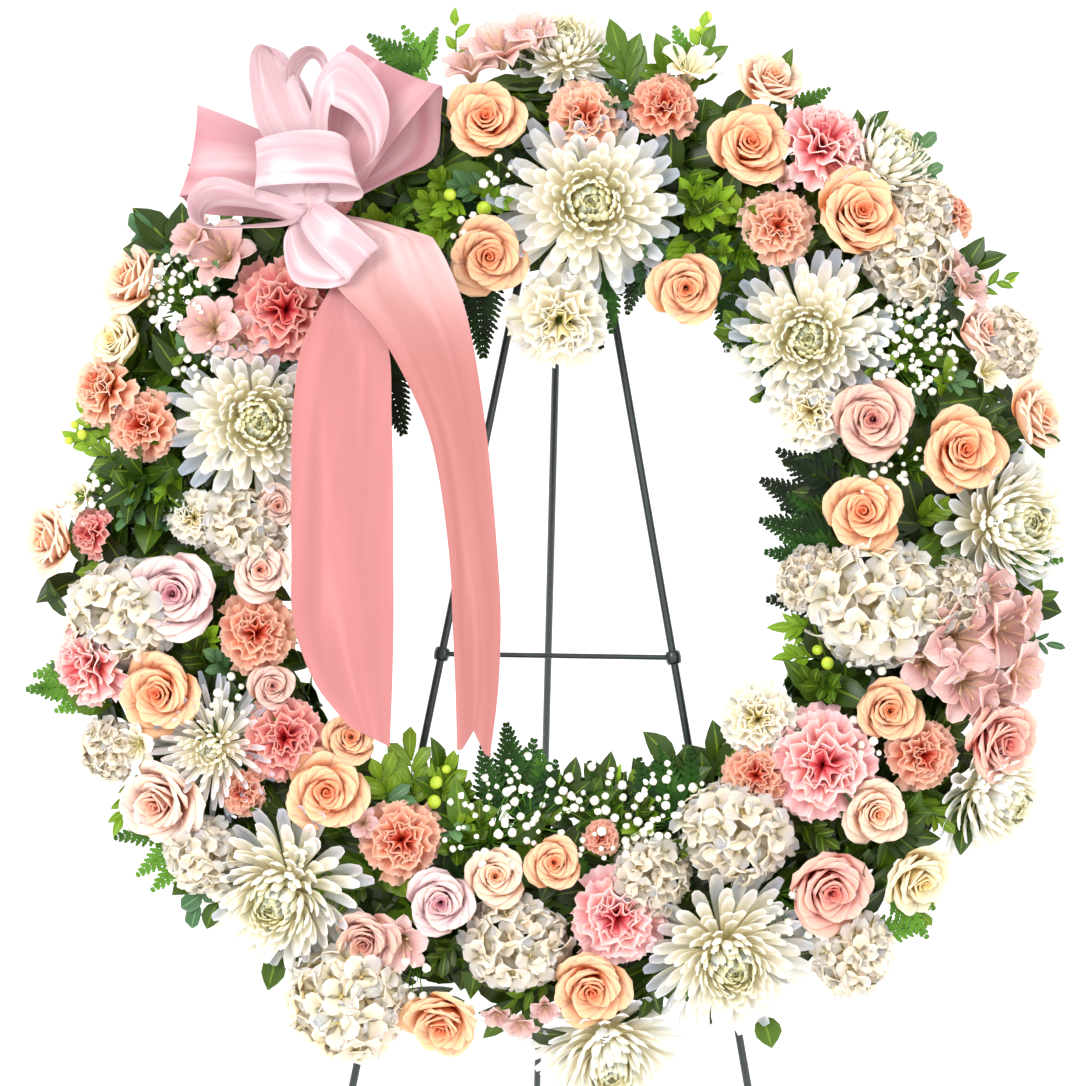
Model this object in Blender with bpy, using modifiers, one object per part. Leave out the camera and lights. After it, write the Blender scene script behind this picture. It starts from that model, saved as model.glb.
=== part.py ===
"""Funeral wreath on its folding wire easel.

A ring of floral foam in a plastic tray carries mums, roses, carnations, hydrangeas, lilies and
greenery on stems that stand in holes in the foam. A satin bow hangs its tails over the ring's hole.
The ring is banded to the two front legs of a three-legged wire easel, whose rear leg folds.

The front frame, the ring and all the flowers are built in a frame of their own: X to the right, Z up
along the leaning legs and Y away from the viewer, with its origin at the ring's centre, in the plane
of the legs. An empty then leans that frame back.
"""

import math
import random

import bmesh
import bpy
from mathutils import Matrix, Vector

MM = 0.001

# Easel, in metres: a 48 inch wire easel.
LEAN = math.radians(12)
REAR_LEAN = math.radians(18)
APEX_ABOVE_RING = 0.372
FOOT_BELOW_RING = 0.8466
LEG_RADIUS = 0.003
CROSSBAR_RADIUS = 0.002
CROSSBAR_LEVEL = -0.084
CROSSBAR_HALF = 0.088
LEG_SPREAD = 0.19
RIGHT_TOP = 0.0085
LEFT_TOP = 0.012
EYE_BORE = 0.0035
EYE_OUTER = 0.0065
REAR_EYE_WIDTH = 0.012
REAR_EYE_SHIFT = -0.0027
REAR_FOOT_SHIFT = -0.012
ORIGIN_SHIFT = Vector((0.0076, -0.1323, 0.0))

# Ring of foam and its tray, from a 24 inch wreath form.
RING_SHIFT = Vector((-0.008, 0.0, 0.0))
RING_MID = 0.265
FOAM_HALF = 0.0397
FOAM_BACK = 0.0058
FOAM_FRONT = 0.055
TRAY_BACK = 0.0035
TRAY_FLOOR = 0.002
TRAY_LIP = 0.017
WALL = 0.002
RING_STEPS = 24
FOAM_CHAMFER = 0.014
TRAY_CLEARANCE = 0.0003
BAND_OUTER = 0.0051
BAND_WIDTH = 0.006
COLLAR_OUTER = 0.0056
COLLAR_LENGTH = 0.010
BAND_LEVELS = (0.265, -0.262)

# Flower heads sit on a dome over the ring.
DOME_REACH = 0.143
DOME_BASE = 0.048
DOME_RISE = 0.050
CORE_DEPTH = 0.022
STEM_RADIUS = 0.003
STALK_RADIUS = 0.0022
STALK_TIP = 0.0014
STEM_SINK = 0.022
HOLE_CLEARANCE = 0.0004
HOLE_END = 0.0003
HOLE_REACH = 0.045
HEAD_BACK = 0.56
HEAD_FULL = 1.16
SMALL_HEAD = 0.0255
HEAD_GAP = 0.0004
BACK_PLANE = -0.037
HANG_TURN = math.radians(0.9)

# Ribbon.
RIBBON = 0.0008

# Each node's flower heads: kind, place right of and above the ring's centre, and width, in mm, with
# how far the head turns out from the viewer where that isn't the usual 0.55.
HEADS = {
    "white_mum_above_hole": [("mum", 31, 250, 119), ("carnation", 8, 165, 62)],
    "white_mum_top": [("mum", 12, 369, 67)],
    "white_mum_upper_right": [("mum", 188, 153, 110), ("carnation", 192, 98, 44)],
    "white_mum_and_hydrangea_right": [
        ("mum", 251, 285, 73, 1.0), ("hydrangea", 264, 207, 66), ("hydrangea", 277, 244, 51),
    ],
    "white_hydrangea_right_rim": [("hydrangea", 340, 149, 45)],
    "white_mum_right": [("mum", 340, 16, 99), ("hydrangea", 242, -42, 95)],
    "white_hydrangea_lower_right": [("hydrangea", 135, -211, 77), ("hydrangea", 74, -245, 59)],
    "white_carnation_lower_right": [("carnation", 153, -127, 45)],
    "white_mum_bottom": [("mum", 136, -304, 110), ("mum", 45, -377, 95), ("hydrangea", 225, -302, 62)],
    "white_mum_lower_right_rim": [("mum", 330, -186, 77, 1.0)],
    "white_hydrangea_bottom": [("hydrangea", -23, -291, 73)],
    "white_mum_lower_left": [("mum", -197, -257, 106), ("hydrangea", -149, -334, 95)],
    "white_spider_mum_left": [("mum", -247, -149, 73), ("hydrangea", -255, -227, 55)],
    "white_hydrangea_left": [("hydrangea", -314, -51, 81), ("hydrangea", -322, -151, 40)],
    "white_mum_upper_left": [
        ("mum", -214, 91, 106), ("hydrangea", -223, 11, 59), ("carnation", -260, 20, 34),
    ],
    "peach_roses_top_left": [("rose", -44, 310, 54), ("rose", -44, 212, 59), ("lily", -36, 366, 70)],
    "pink_carnations_top": [("carnation", 27, 318, 50), ("carnation", 83, 324, 45)],
    "peach_roses_top_right": [
        ("rose", 146, 291, 60), ("rose", 163, 340, 48), ("carnation", 166, 234, 50),
        ("rose", 101, 188, 53),
    ],
    "pink_carnation_upper_right": [("carnation", 204, 297, 60), ("rose", 225, 240, 64)],
    "pink_lilies_right_top": [
        ("lily", 308, 190, 37), ("carnation", 299, 247, 31), ("rose", 315, 155, 38, 1.0),
    ],
    "peach_roses_right": [
        ("rose", 301, 69, 63), ("rose", 356, 94, 53, 1.0), ("rose", 236, 92, 61),
        ("rose", 231, 25, 55),
    ],
    "peach_roses_lower_right": [
        ("rose", 248, -120, 48), ("carnation", 274, -154, 44), ("rose", 239, -195, 48),
        ("rose", 269, -244, 55), ("rose", 204, -250, 61),
    ],
    "pink_lilies_right": [("lily", 319, -81, 95), ("rose", 330, -143, 59)],
    "pink_carnations_lower_right": [("carnation", 201, -161, 70), ("carnation", 152, -168, 37)],
    "peach_roses_bottom": [
        ("rose", 31, -323, 57), ("carnation", 50, -273, 59), ("carnation", 38, -214, 20),
        ("rose", 4, -233, 40), ("rose", -39, -242, 44),
    ],
    "peach_roses_bottom_left": [
        ("rose", -78, -348, 57), ("rose", -79, -261, 50), ("lily", -108, -291, 37),
        ("rose", -134, -289, 45), ("carnation", -108, -216, 50),
    ],
    "peach_roses_lower_left": [
        ("rose", -163, -181, 60), ("rose", -146, -141, 40), ("rose", -203, -104, 31),
        ("carnation", -193, -141, 51), ("carnation", -225, -181, 26),
    ],
    "coral_carnation_left": [("carnation", -214, -64, 48), ("rose", -212, -18, 44)],
    "peach_rose_left": [("rose", -199, 29, 33)],
    "blush_roses_left": [("rose", -283, -108, 61), ("rose", -283, -187, 67), ("rose", -273, -35, 64)],
    "pink_carnation_left_rim": [("carnation", -341, -89, 53)],
    "peach_rose_left_rim": [("rose", -365, 4, 53, 1.0), ("carnation", -337, 9, 29)],
    "peach_roses_upper_left": [
        ("rose", -305, 195, 53, 1.0), ("rose", -315, 148, 40), ("carnation", -329, 116, 44),
        ("carnation", -299, 88, 42),
    ],
    "pink_carnation_under_bow": [
        ("carnation", -193, 173, 67), ("lily", -239, 214, 51), ("lily", -247, 160, 48),
    ],
    "gypsophila_right": [("gyp", 269, 145, 72), ("leafy", 272, 106, 40)],
    "gypsophila_bottom": [("gyp", -40, -203, 76), ("gyp", 51, -198, 66)],
    "gypsophila_upper_left": [("gyp", -272, 187, 50)],
    "greens_left": [("leafy", -295, 45, 54), ("gyp", -340, 35, 40)],
    "greens_top_left": [("leafy", -72, 249, 62)],
    "greens_right": [("leafy", 286, 4, 52)],
    "greens_lower_right": [("leafy", 200, -77, 56)],
}

# A head's rings from its front to its back, as (reach, height) in units of its radius, with how far
# every second point of a ring falls back. The rings make its petals' layers.
HEAD_RINGS = {
    "rose": (8, 0.40, (
        (0.22, 0.62, 0.06), (0.34, 0.32, 0.0), (0.66, 0.52, 0.16), (1.0, 0.14, -0.15),
        (0.60, -0.42, 0.0),
    )),
    "mum": (10, 0.48, (
        (0.17, 0.60, 0.10), (0.43, 0.62, 0.24), (0.74, 0.48, -0.26), (1.0, 0.18, 0.28),
        (0.94, -0.14, -0.22), (0.48, -0.42, 0.0),
    )),
    "carnation": (10, 0.46, (
        (0.28, 0.70, 0.26), (0.62, 0.52, -0.24), (0.98, 0.26, 0.24), (0.84, -0.12, -0.14),
        (0.34, -0.52, 0.0),
    )),
    "hydrangea": (10, 0.86, (
        (0.40, 0.86, 0.18), (0.76, 0.62, -0.16), (0.98, 0.18, 0.18), (0.90, -0.22, -0.12),
        (0.52, -0.54, 0.0),
    )),
    "lily": (12, 0.10, ((0.34, 0.40, 0.22), (1.0, 0.34, 0.52), (0.42, -0.34, 0.0))),
}
HEAD_BOUND = 1.04

# Leaves and fronds that show past the flowers. Each node: its hub's angle round the ring and side of
# the foam, then each blade's kind, its tip right of and above the ring's centre, its length and width.
RIM_GREENS = {
    "greens_rim_top": (88, 1, [
        ("fern", -118, 392, 75, 46), ("leaf", -70, 398, 45, 20), ("leaf", 52, 384, 48, 24),
        ("leaf", 74, 366, 42, 22), ("leaf", 104, 366, 40, 22), ("leaf", 119, 397, 46, 16),
    ]),
    "greens_rim_upper_right": (43, 1, [
        ("leaf", 176, 374, 50, 22), ("fern", 216, 352, 80, 44), ("leaf", 262, 334, 46, 24),
        ("leaf", 292, 316, 40, 30), ("leaf", 306, 288, 40, 30), ("leaf", 336, 222, 48, 22),
    ]),
    "greens_rim_right": (-9, 1, [
        ("leaf", 362, -30, 46, 22), ("leaf", 396, -44, 44, 24), ("leaf", 392, -76, 44, 24),
    ]),
    "greens_rim_lower_right": (-46, 1, [
        ("leaf", 300, -200, 46, 24), ("leaf", 310, -222, 40, 22), ("fern", 288, -298, 70, 40),
        ("leaf", 176, -380, 56, 48),
    ]),
    "greens_rim_lower_left": (-133, 1, [
        ("fern", -328, -230, 74, 40), ("fern", -306, -262, 64, 36), ("leaf", -280, -284, 44, 22),
        ("leaf", -262, -302, 44, 24), ("leaf", -240, -316, 44, 24), ("fern", -214, -338, 66, 40),
    ]),
    "greens_rim_left": (168, 1, [
        ("leaf", -392, -104, 46, 34), ("leaf", -386, 96, 46, 26), ("leaf", -392, 54, 46, 26),
        ("leaf", -352, 172, 48, 26), ("leaf", -330, 250, 84, 42),
    ]),
    "greens_hole_top": (96, -1, [("leaf", -54, 140, 46, 22), ("fern", 34, 134, 60, 38)]),
    "greens_hole_right": (14, -1, [
        ("leaf", 122, 148, 46, 24), ("leaf", 128, 92, 56, 26), ("fern", 146, 34, 64, 38),
        ("leaf", 140, -8, 48, 22), ("leaf", 156, -54, 44, 22),
    ]),
    "greens_hole_bottom": (-96, -1, [
        ("leaf", 96, -128, 52, 28), ("leaf", 122, -134, 48, 26), ("fern", 66, -160, 60, 38),
        ("fern", -32, -120, 66, 40), ("leaf", 2, -158, 44, 34), ("leaf", -104, -152, 42, 18),
        ("leaf", -80, -164, 40, 30),
    ]),
}
HUB_DEPTH = -0.024
LEAF_THICK = 0.0012
LEAF_STALK = 0.0012
LEAF_ARCH = 0.003
FROND_ARCH = 0.004
HUB_RADIUS = 0.005
HUB_STANDOFF = 0.010
HUB_HOLE_START = 0.006
PICK_DEPTH = 0.014
FROND_LAYER = 0.004
SPRAY_KNOT = 0.004
FLORET_RADIUS = 0.0042
FLORET_STALK = 0.0009
BUD_RADII = (0.006, 0.006, 0.008)

# Sections of each ribbon loop or tail in mm: the two edges' points, as x, y, z and x, y, z.
WIDE_KNOT = (Vector((-157, -109, 256)) * MM, Vector((15, 12, 17)) * MM)
NARROW_KNOT = (Vector((-168, -137, 255)) * MM, Vector((17, 16, 17)) * MM)
WIDE_LOOPS = {
    "left": [
        (-166, -100, 278, -163, -100, 236), (-210, -93, 304, -214, -93, 241),
        (-247, -97, 317, -253, -97, 243), (-255, -109, 320, -267, -109, 253),
        (-250, -121, 318, -264, -121, 254), (-210, -126, 301, -213, -126, 257),
        (-169, -118, 276, -166, -118, 239),
    ],
    "right": [
        (-163, -118, 282, -146, -118, 249), (-158, -125, 326, -112, -125, 294),
        (-151, -122, 354, -88, -122, 324), (-143, -110, 365, -78, -110, 335),
        (-137, -98, 351, -79, -98, 317), (-135, -93, 311, -84, -93, 285),
        (-144, -96, 273, -113, -96, 269), (-160, -102, 267, -144, -102, 253),
    ],
}
NARROW_LOOPS = {
    "top": [
        (-182, -140, 271, -159, -140, 274), (-207, -152, 296, -169, -146, 305),
        (-214, -156, 326, -181, -136, 333), (-214, -152, 352, -195, -130, 356),
        (-207, -142, 361, -190, -128, 354), (-197, -133, 351, -176, -130, 332),
        (-188, -131, 318, -166, -131, 307), (-178, -136, 282, -163, -136, 276),
    ],
    "right": [
        (-173, -146, 274, -157, -146, 269), (-171, -150, 311, -159, -150, 300),
        (-166, -154, 336, -157, -154, 315), (-147, -156, 354, -153, -156, 314),
        (-125, -155, 337, -141, -150, 308), (-115, -148, 314, -131, -138, 295),
        (-120, -140, 289, -130, -132, 277), (-137, -136, 269, -144, -136, 266),
    ],
    "centre": [
        (-169, -150, 282, -169, -150, 247), (-190, -147, 284, -191, -147, 245),
        (-207, -152, 287, -209, -152, 247), (-210, -160, 289, -210, -160, 255),
        (-197, -167, 293, -197, -167, 257), (-175, -170, 296, -172, -170, 258),
        (-154, -166, 295, -146, -166, 258), (-144, -158, 289, -134, -158, 254),
        (-146, -150, 285, -137, -150, 248), (-160, -148, 283, -157, -148, 247),
    ],
    "left": [
        (-179, -146, 248, -179, -140, 232), (-210, -154, 256, -203, -140, 241),
        (-235, -155, 264, -228, -136, 245), (-252, -152, 260, -243, -134, 244),
        (-260, -150, 245, -250, -132, 236), (-251, -150, 229, -242, -132, 229),
        (-215, -150, 228, -210, -134, 232), (-185, -146, 231, -184, -140, 236),
    ],
    "lower": [
        (-163, -150, 248, -178, -150, 229), (-144, -158, 234, -163, -158, 207),
        (-125, -154, 217, -146, -154, 191), (-123, -147, 213, -146, -147, 188),
        (-140, -141, 207, -162, -141, 185), (-169, -139, 219, -185, -139, 191),
        (-180, -141, 236, -191, -141, 220),
    ],
}
TAILS = {
    "ribbon_tail_left": [
        (-150, -107, 239, -164, -107, 239), (-144, -126, 207, -154, -126, 201),
        (-130, -131, 166, -169, -131, 166), (-116, -131, 141, -180, -131, 141),
        (-114, -128, 92, -186, -128, 92), (-113, -125, 40, -187, -125, 40),
        (-113, -122, -11, -187, -122, -11), (-113, -119, -55, -186, -119, -55),
        (-114, -116, -99, -171, -116, -99), (-116, -113, -147, -146, -113, -132),
    ],
    "ribbon_tail_right": [
        (-150, -113, 239.9, -164, -113, 239.9), (-94, -128, 226, -150, -124, 230),
        (-80, -136, 216, -152, -136, 207), (-64, -141, 181, -154, -141, 188),
        (-55, -141, 146, -122, -139, 152), (-47, -137, 95, -92, -137, 95),
        (-42, -133, 51, -80, -133, 51), (-37, -129, -11, -72, -129, -11),
        (-35, -125, -55, -70, -125, -55), (-37, -119, -106, -68, -119, -106),
        (-43, -112, -154, -67, -112, -149),
    ],
}

COLOURS = {
    "wire": ((0.020, 0.034, 0.032), 0.35, 0.6),
    "tray": ((0.020, 0.075, 0.035), 0.45, 0.0),
    "foam": ((0.035, 0.130, 0.060), 0.95, 0.0),
    "satin_pink": ((0.90, 0.36, 0.38), 0.35, 0.0),
    "satin_pale": ((0.93, 0.76, 0.78), 0.30, 0.0),
    "white": ((0.88, 0.84, 0.70), 0.6, 0.0),
    "peach": ((0.93, 0.58, 0.38), 0.6, 0.0),
    "pink": ((0.90, 0.42, 0.42), 0.6, 0.0),
    "coral": ((0.88, 0.28, 0.22), 0.6, 0.0),
    "blush": ((0.90, 0.66, 0.58), 0.6, 0.0),
    "gypsophila": ((0.90, 0.88, 0.82), 0.7, 0.0),
    "greens": ((0.045, 0.150, 0.040), 0.5, 0.0),
}


def clear_scene():
    for obj in list(bpy.data.objects):
        bpy.data.objects.remove(obj)
    for mesh in list(bpy.data.meshes):
        bpy.data.meshes.remove(mesh)


def finish_of(name):
    """The Principled material of one finish, made on first use."""
    if name in bpy.data.materials:
        return bpy.data.materials[name]
    colour, roughness, metallic = COLOURS[name]
    made = bpy.data.materials.new(name)
    made.use_nodes = True
    shader = made.node_tree.nodes["Principled BSDF"]
    shader.inputs["Base Color"].default_value = (*colour, 1)
    shader.inputs["Roughness"].default_value = roughness
    shader.inputs["Metallic"].default_value = metallic
    return made


def face_outwards(bm):
    bmesh.ops.recalc_face_normals(bm, faces=bm.faces)
    if bm.calc_volume(signed=True) < 0:
        bmesh.ops.reverse_faces(bm, faces=bm.faces)


def object_of(bm, name):
    mesh = bpy.data.meshes.new(name)
    bm.to_mesh(mesh)
    bm.free()
    obj = bpy.data.objects.new(name, mesh)
    bpy.context.scene.collection.objects.link(obj)
    return obj


def bake(obj):
    """Turns an object's modifiers, or a curve, into its own mesh."""
    bpy.context.view_layer.update()
    graph = bpy.context.evaluated_depsgraph_get()
    mesh = bpy.data.meshes.new_from_object(obj.evaluated_get(graph))
    bm = bmesh.new()
    bm.from_mesh(mesh)
    bmesh.ops.remove_doubles(bm, verts=bm.verts, dist=1e-6)
    face_outwards(bm)
    bpy.data.meshes.remove(mesh)
    name = obj.name
    bpy.data.objects.remove(obj)
    return object_of(bm, name)


def combine(base, others, operation):
    """One Boolean of a base with a collection of other solids, which it uses up.

    A union of many crossing petals, leaves and loops only comes out closed with the MANIFOLD solver.
    """
    group = bpy.data.collections.new(base.name + "_others")
    bpy.context.scene.collection.children.link(group)
    for other in others:
        group.objects.link(other)
    cut = base.modifiers.new("combine", "BOOLEAN")
    cut.operand_type = "COLLECTION"
    cut.collection = group
    cut.operation = operation
    cut.solver = "MANIFOLD" if operation == "UNION" else "EXACT"
    done = bake(base)
    for other in list(group.objects):
        bpy.data.objects.remove(other)
    bpy.data.collections.remove(group)
    return done


def place(obj, name, finish, parent, folder):
    """Names a finished solid, gives it its material and puts it in the wreath's collection."""
    obj.name = name
    obj.data.name = name
    obj.data.materials.clear()
    obj.data.materials.append(finish_of(finish))
    obj.data.shade_smooth()
    obj.data.set_sharp_from_angle(angle=math.radians(40))
    obj.parent = parent
    bpy.context.scene.collection.objects.unlink(obj)
    folder.objects.link(obj)
    return obj


def rod(start, end, radius, sides=6, end_radius=None, name="rod"):
    """A straight closed rod between two points."""
    run = end - start
    bm = bmesh.new()
    bmesh.ops.create_cone(
        bm, cap_ends=True, segments=sides, radius1=radius,
        radius2=radius if end_radius is None else end_radius, depth=run.length,
    )
    turn = run.to_track_quat("Z", "Y").to_matrix().to_4x4()
    bm.transform(Matrix.Translation((start + end) / 2) @ turn)
    return object_of(bm, name)


def wire(points, radius, name):
    """A bent wire: a bevelled poly curve, made a mesh with its caps welded."""
    curve = bpy.data.curves.new(name, "CURVE")
    curve.dimensions = "3D"
    curve.bevel_depth = radius
    curve.bevel_resolution = 2
    curve.use_fill_caps = True
    spline = curve.splines.new("POLY")
    spline.points.add(len(points) - 1)
    for point, co in zip(spline.points, points):
        point.co = (*co, 1)
    obj = bpy.data.objects.new(name, curve)
    bpy.context.scene.collection.objects.link(obj)
    return bake(obj)


def turned(section, steps, name):
    """A closed section of (radius, height) turned right round Z."""
    bm = bmesh.new()
    corners = [bm.verts.new((radius, 0, height)) for radius, height in section]
    for corner, following in zip(corners, corners[1:] + corners[:1]):
        bm.edges.new((corner, following))
    obj = object_of(bm, name)
    screw = obj.modifiers.new("turn", "SCREW")
    screw.steps = steps
    screw.render_steps = steps
    screw.use_merge_vertices = True
    screw.merge_threshold = 0.00001
    return bake(obj)


def sleeve(centre, axis, bore, outer, length, sides, name):
    """A short tube round an axis."""
    half = length / 2
    made = turned(((bore, half), (bore, -half), (outer, -half), (outer, half)), sides, name)
    turn = axis.to_track_quat("Z", "Y").to_matrix().to_4x4()
    made.data.transform(Matrix.Translation(centre) @ turn)
    return made


def cut_at_floor(obj, to_world):
    """Cuts a leg off flat where it meets the floor."""
    bm = bmesh.new()
    bm.from_mesh(obj.data)
    back = to_world.inverted()
    cut = bmesh.ops.bisect_plane(
        bm, geom=bm.verts[:] + bm.edges[:] + bm.faces[:], dist=1e-7,
        plane_co=back @ Vector((0, 0, 0)), plane_no=back.to_3x3() @ Vector((0, 0, 1)),
        clear_inner=True,
    )
    edges = [item for item in cut["geom_cut"] if isinstance(item, bmesh.types.BMEdge)]
    bmesh.ops.holes_fill(bm, edges=edges)
    face_outwards(bm)
    bm.to_mesh(obj.data)
    bm.free()


def leg_point(side, level):
    """A front leg's centre at a level of the front frame."""
    top = RIGHT_TOP if side > 0 else LEFT_TOP
    half = max(top, CROSSBAR_HALF + LEG_SPREAD * (CROSSBAR_LEVEL - level))
    return Vector((side * half, 0, level))


def leg_axis():
    return Vector((LEG_SPREAD, 0, -1)).normalized()


def leg_knee(side):
    """The level above which a front leg runs straight up to the apex."""
    top = RIGHT_TOP if side > 0 else LEFT_TOP
    return CROSSBAR_LEVEL + (CROSSBAR_HALF - top) / LEG_SPREAD


def on_dome(x, z):
    """A head's centre over the ring, seen from the ring's centre."""
    rho = math.hypot(x, z)
    across = min(1.0, abs(rho - RING_MID) / DOME_REACH)
    return Vector((x, -(DOME_BASE + DOME_RISE * math.sqrt(1 - across * across)), z))


def foam_core(point):
    """The point of the foam's core circle nearest to a place."""
    rho = math.hypot(point.x, point.z)
    return Vector((point.x / rho * RING_MID, -CORE_DEPTH, point.z / rho * RING_MID))


class Head:
    """One flower head or spray: its place, its radius and the planes it stays inside."""

    def __init__(self, node, kind, x, z, width, turn_out=0.55):
        self.node = node
        self.kind = kind
        turned_x = x * math.cos(HANG_TURN) - z * math.sin(HANG_TURN)
        turned_z = x * math.sin(HANG_TURN) + z * math.cos(HANG_TURN)
        self.centre = on_dome(turned_x * MM, turned_z * MM)
        self.radius = width * MM / 2 * HEAD_FULL
        core = foam_core(self.centre)
        out = (self.centre - core).normalized()
        self.facing = (out * turn_out + Vector((0, -1, 0)) * (1 - turn_out)).normalized()
        self.stem_end = core + out * STEM_SINK
        self.planes = []

    def keep_clear(self, normal, distance):
        self.planes.append((normal, max(distance, 0.25 * self.radius)))

    def inside(self, offset):
        """An offset from the centre, drawn in so that it stays inside every plane."""
        reach = offset.length
        if reach < 1e-9:
            return offset
        direction = offset / reach
        share = 1.0
        for normal, distance in self.planes:
            along = direction.dot(normal)
            if along > 1e-6:
                share = min(share, distance / (HEAD_BOUND * self.radius * along))
        return offset * share


def share_out_space(heads):
    """Sets a flat border between each two heads, and between a head and the foam and the legs."""
    for i, head in enumerate(heads):
        for other in heads[i + 1:]:
            between = other.centre - head.centre
            gap = between.length
            if gap > HEAD_BOUND * (head.radius + other.radius) + HEAD_GAP:
                continue
            border = (gap * gap + head.radius ** 2 - other.radius ** 2) / (2 * gap)
            border = min(max(border, 0.3 * gap), 0.7 * gap)
            normal = between / gap
            head.keep_clear(normal, border - HEAD_GAP)
            other.keep_clear(-normal, gap - border - HEAD_GAP)
    for head in heads:
        head.keep_clear(Vector((0, 1, 0)), BACK_PLANE - head.centre.y)
        rho = math.hypot(head.centre.x, head.centre.z)
        out = Vector((head.centre.x / rho, 0, head.centre.z / rho))
        low, high = RING_MID - FOAM_HALF - 0.004, RING_MID + FOAM_HALF + 0.002
        near = out * min(max(rho, low), high) + Vector((0, -FOAM_FRONT - 0.002, 0))
        to_foam = near - head.centre
        head.keep_clear(to_foam.normalized(), to_foam.length)


def side_of(facing):
    """Two directions square to a head's facing."""
    side = facing.cross(Vector((0, 0, 1)))
    if side.length < 1e-3:
        side = Vector((1, 0, 0))
    side.normalize()
    return side, side.cross(facing).normalized()


def bloom(head, stem, draw):
    """A flower head as one closed sphere whose rings are pushed into layers of petals."""
    columns, dip, rings = HEAD_RINGS[head.kind]
    if head.radius < SMALL_HEAD:
        columns -= 2
    rows = len(rings) + (2 if stem else 1)
    side, up = side_of(head.facing)
    spin = draw.uniform(0, 6.28)
    bm = bmesh.new()
    bmesh.ops.create_uvsphere(bm, u_segments=columns, v_segments=rows, radius=1)
    for vert in bm.verts:
        row = round(math.acos(max(-1.0, min(1.0, vert.co.z))) / math.pi * rows)
        angle = math.atan2(vert.co.y, vert.co.x)
        column = round(angle / (2 * math.pi) * columns) % columns
        angle = 2 * math.pi * column / columns + spin
        if row == 0:
            offset = head.facing * dip
        elif row == rows:
            offset = head.facing * -HEAD_BACK
        elif row == rows - 1 and stem:
            offset = head.facing * -HEAD_BACK
            offset += (side * math.cos(angle) + up * math.sin(angle)) * STEM_RADIUS / head.radius
        else:
            reach, height, fall = rings[row - 1]
            raised = (column % 2 == 0) == (fall >= 0)
            share = 1.0 if raised else 1 - abs(fall)
            share *= 1 - draw.uniform(0, 0.05)
            offset = (side * math.cos(angle) + up * math.sin(angle)) * reach + head.facing * height
            offset *= share
        if row == rows and stem:
            vert.co = head.stem_end
        else:
            vert.co = head.centre + head.inside(offset * head.radius)
    face_outwards(bm)
    return object_of(bm, head.node)


def ball(centre, radii, level, name):
    bm = bmesh.new()
    bmesh.ops.create_icosphere(bm, subdivisions=level, radius=1)
    for vert in bm.verts:
        vert.co = centre + Vector([part * size for part, size in zip(vert.co, radii)])
    return object_of(bm, name)


def blade(base, tip, length, width, normal, arch, kind, name):
    """A thin closed leaf or frond on a stalk, its edges toothed on a frond."""
    run = tip - base
    reach = run.length
    start = max(0.05, 1 - length / reach)
    if kind == "fern":
        pairs = 3
        stations = [(0.02, LEAF_STALK, 0.0)]
        for i in range(pairs):
            low = start + (1 - start) * i / pairs
            full = width / 2 * (1 - 0.75 * (i / pairs) ** 1.5)
            step = (1 - start) / pairs
            stations += [(low + 0.12 * step, width * 0.07, 0.0), (low + 0.55 * step, full, 0.45 * step)]
    else:
        widest = start + 0.42 * (1 - start)
        stations = [(0.02, LEAF_STALK, 0.0), (start, STALK_TIP, 0.0), (widest, width / 2, 0.0)]
    rows = len(stations) + 1
    along = run.normalized()
    side = along.cross(normal).normalized()
    normal = side.cross(along).normalized()
    bm = bmesh.new()
    bmesh.ops.create_uvsphere(bm, u_segments=4, v_segments=rows, radius=1)
    for vert in bm.verts:
        row = round(math.acos(max(-1.0, min(1.0, vert.co.z))) / math.pi * rows)
        if row == 0:
            share, half, forward = 0.0, 0.0, 0.0
        elif row == rows:
            share, half, forward = 1.0, 0.0, 0.0
        else:
            share, half, forward = stations[row - 1]
        flat = Vector((vert.co.x, vert.co.y)).normalized() if 0 < row < rows else Vector((0, 0))
        if abs(flat.x) > 0.5:
            share += forward
        place_on = base + run * share + normal * (arch * math.sin(math.pi * min(share, 1.0)))
        vert.co = place_on + side * (flat.x * half) + normal * (flat.y * LEAF_THICK / 2)
    face_outwards(bm)
    return object_of(bm, name)


def gypsophila(head, draw):
    """Little round florets on fine stalks, spread over the front of their spray."""
    made = [ball(head.centre, (SPRAY_KNOT,) * 3, 1, head.node)]
    side, up = side_of(head.facing)
    count = max(4, round(head.radius * 130))
    for i in range(count):
        lift = 1 - 0.9 * (i + 0.5) / count
        flat = math.sqrt(1 - lift * lift)
        angle = 2.4 * i + draw.uniform(-0.3, 0.3)
        aim = head.facing * lift + (side * math.cos(angle) + up * math.sin(angle)) * flat
        end = head.centre + head.inside(aim * (head.radius * draw.uniform(0.75, 0.88)))
        made.append(rod(head.centre, end, FLORET_STALK, 3))
        made.append(ball(end, (FLORET_RADIUS,) * 3, 1, "floret"))
    return made


def leafy(head, draw):
    """A tuft of leaves with a bud in its middle."""
    made = [ball(head.centre, (HUB_RADIUS,) * 3, 1, head.node)]
    side, up = side_of(head.facing)
    count = 5
    for i in range(count):
        angle = 2 * math.pi * i / count + draw.uniform(-0.25, 0.25)
        lift = 0.25 if i % 2 else 0.65
        aim = head.facing * lift + side * math.cos(angle) + up * math.sin(angle)
        tip = head.centre + head.inside(aim.normalized() * head.radius)
        length = (tip - head.centre).length * 0.85
        made.append(blade(
            head.centre, tip, length, length * 0.5, head.facing, LEAF_ARCH, "leaf", "leaf",
        ))
    bud = head.centre + head.inside(head.facing * head.radius * 0.55)
    made.append(rod(head.centre, bud, LEAF_STALK, 4))
    made.append(ball(bud, BUD_RADII, 1, "bud"))
    return made


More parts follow.
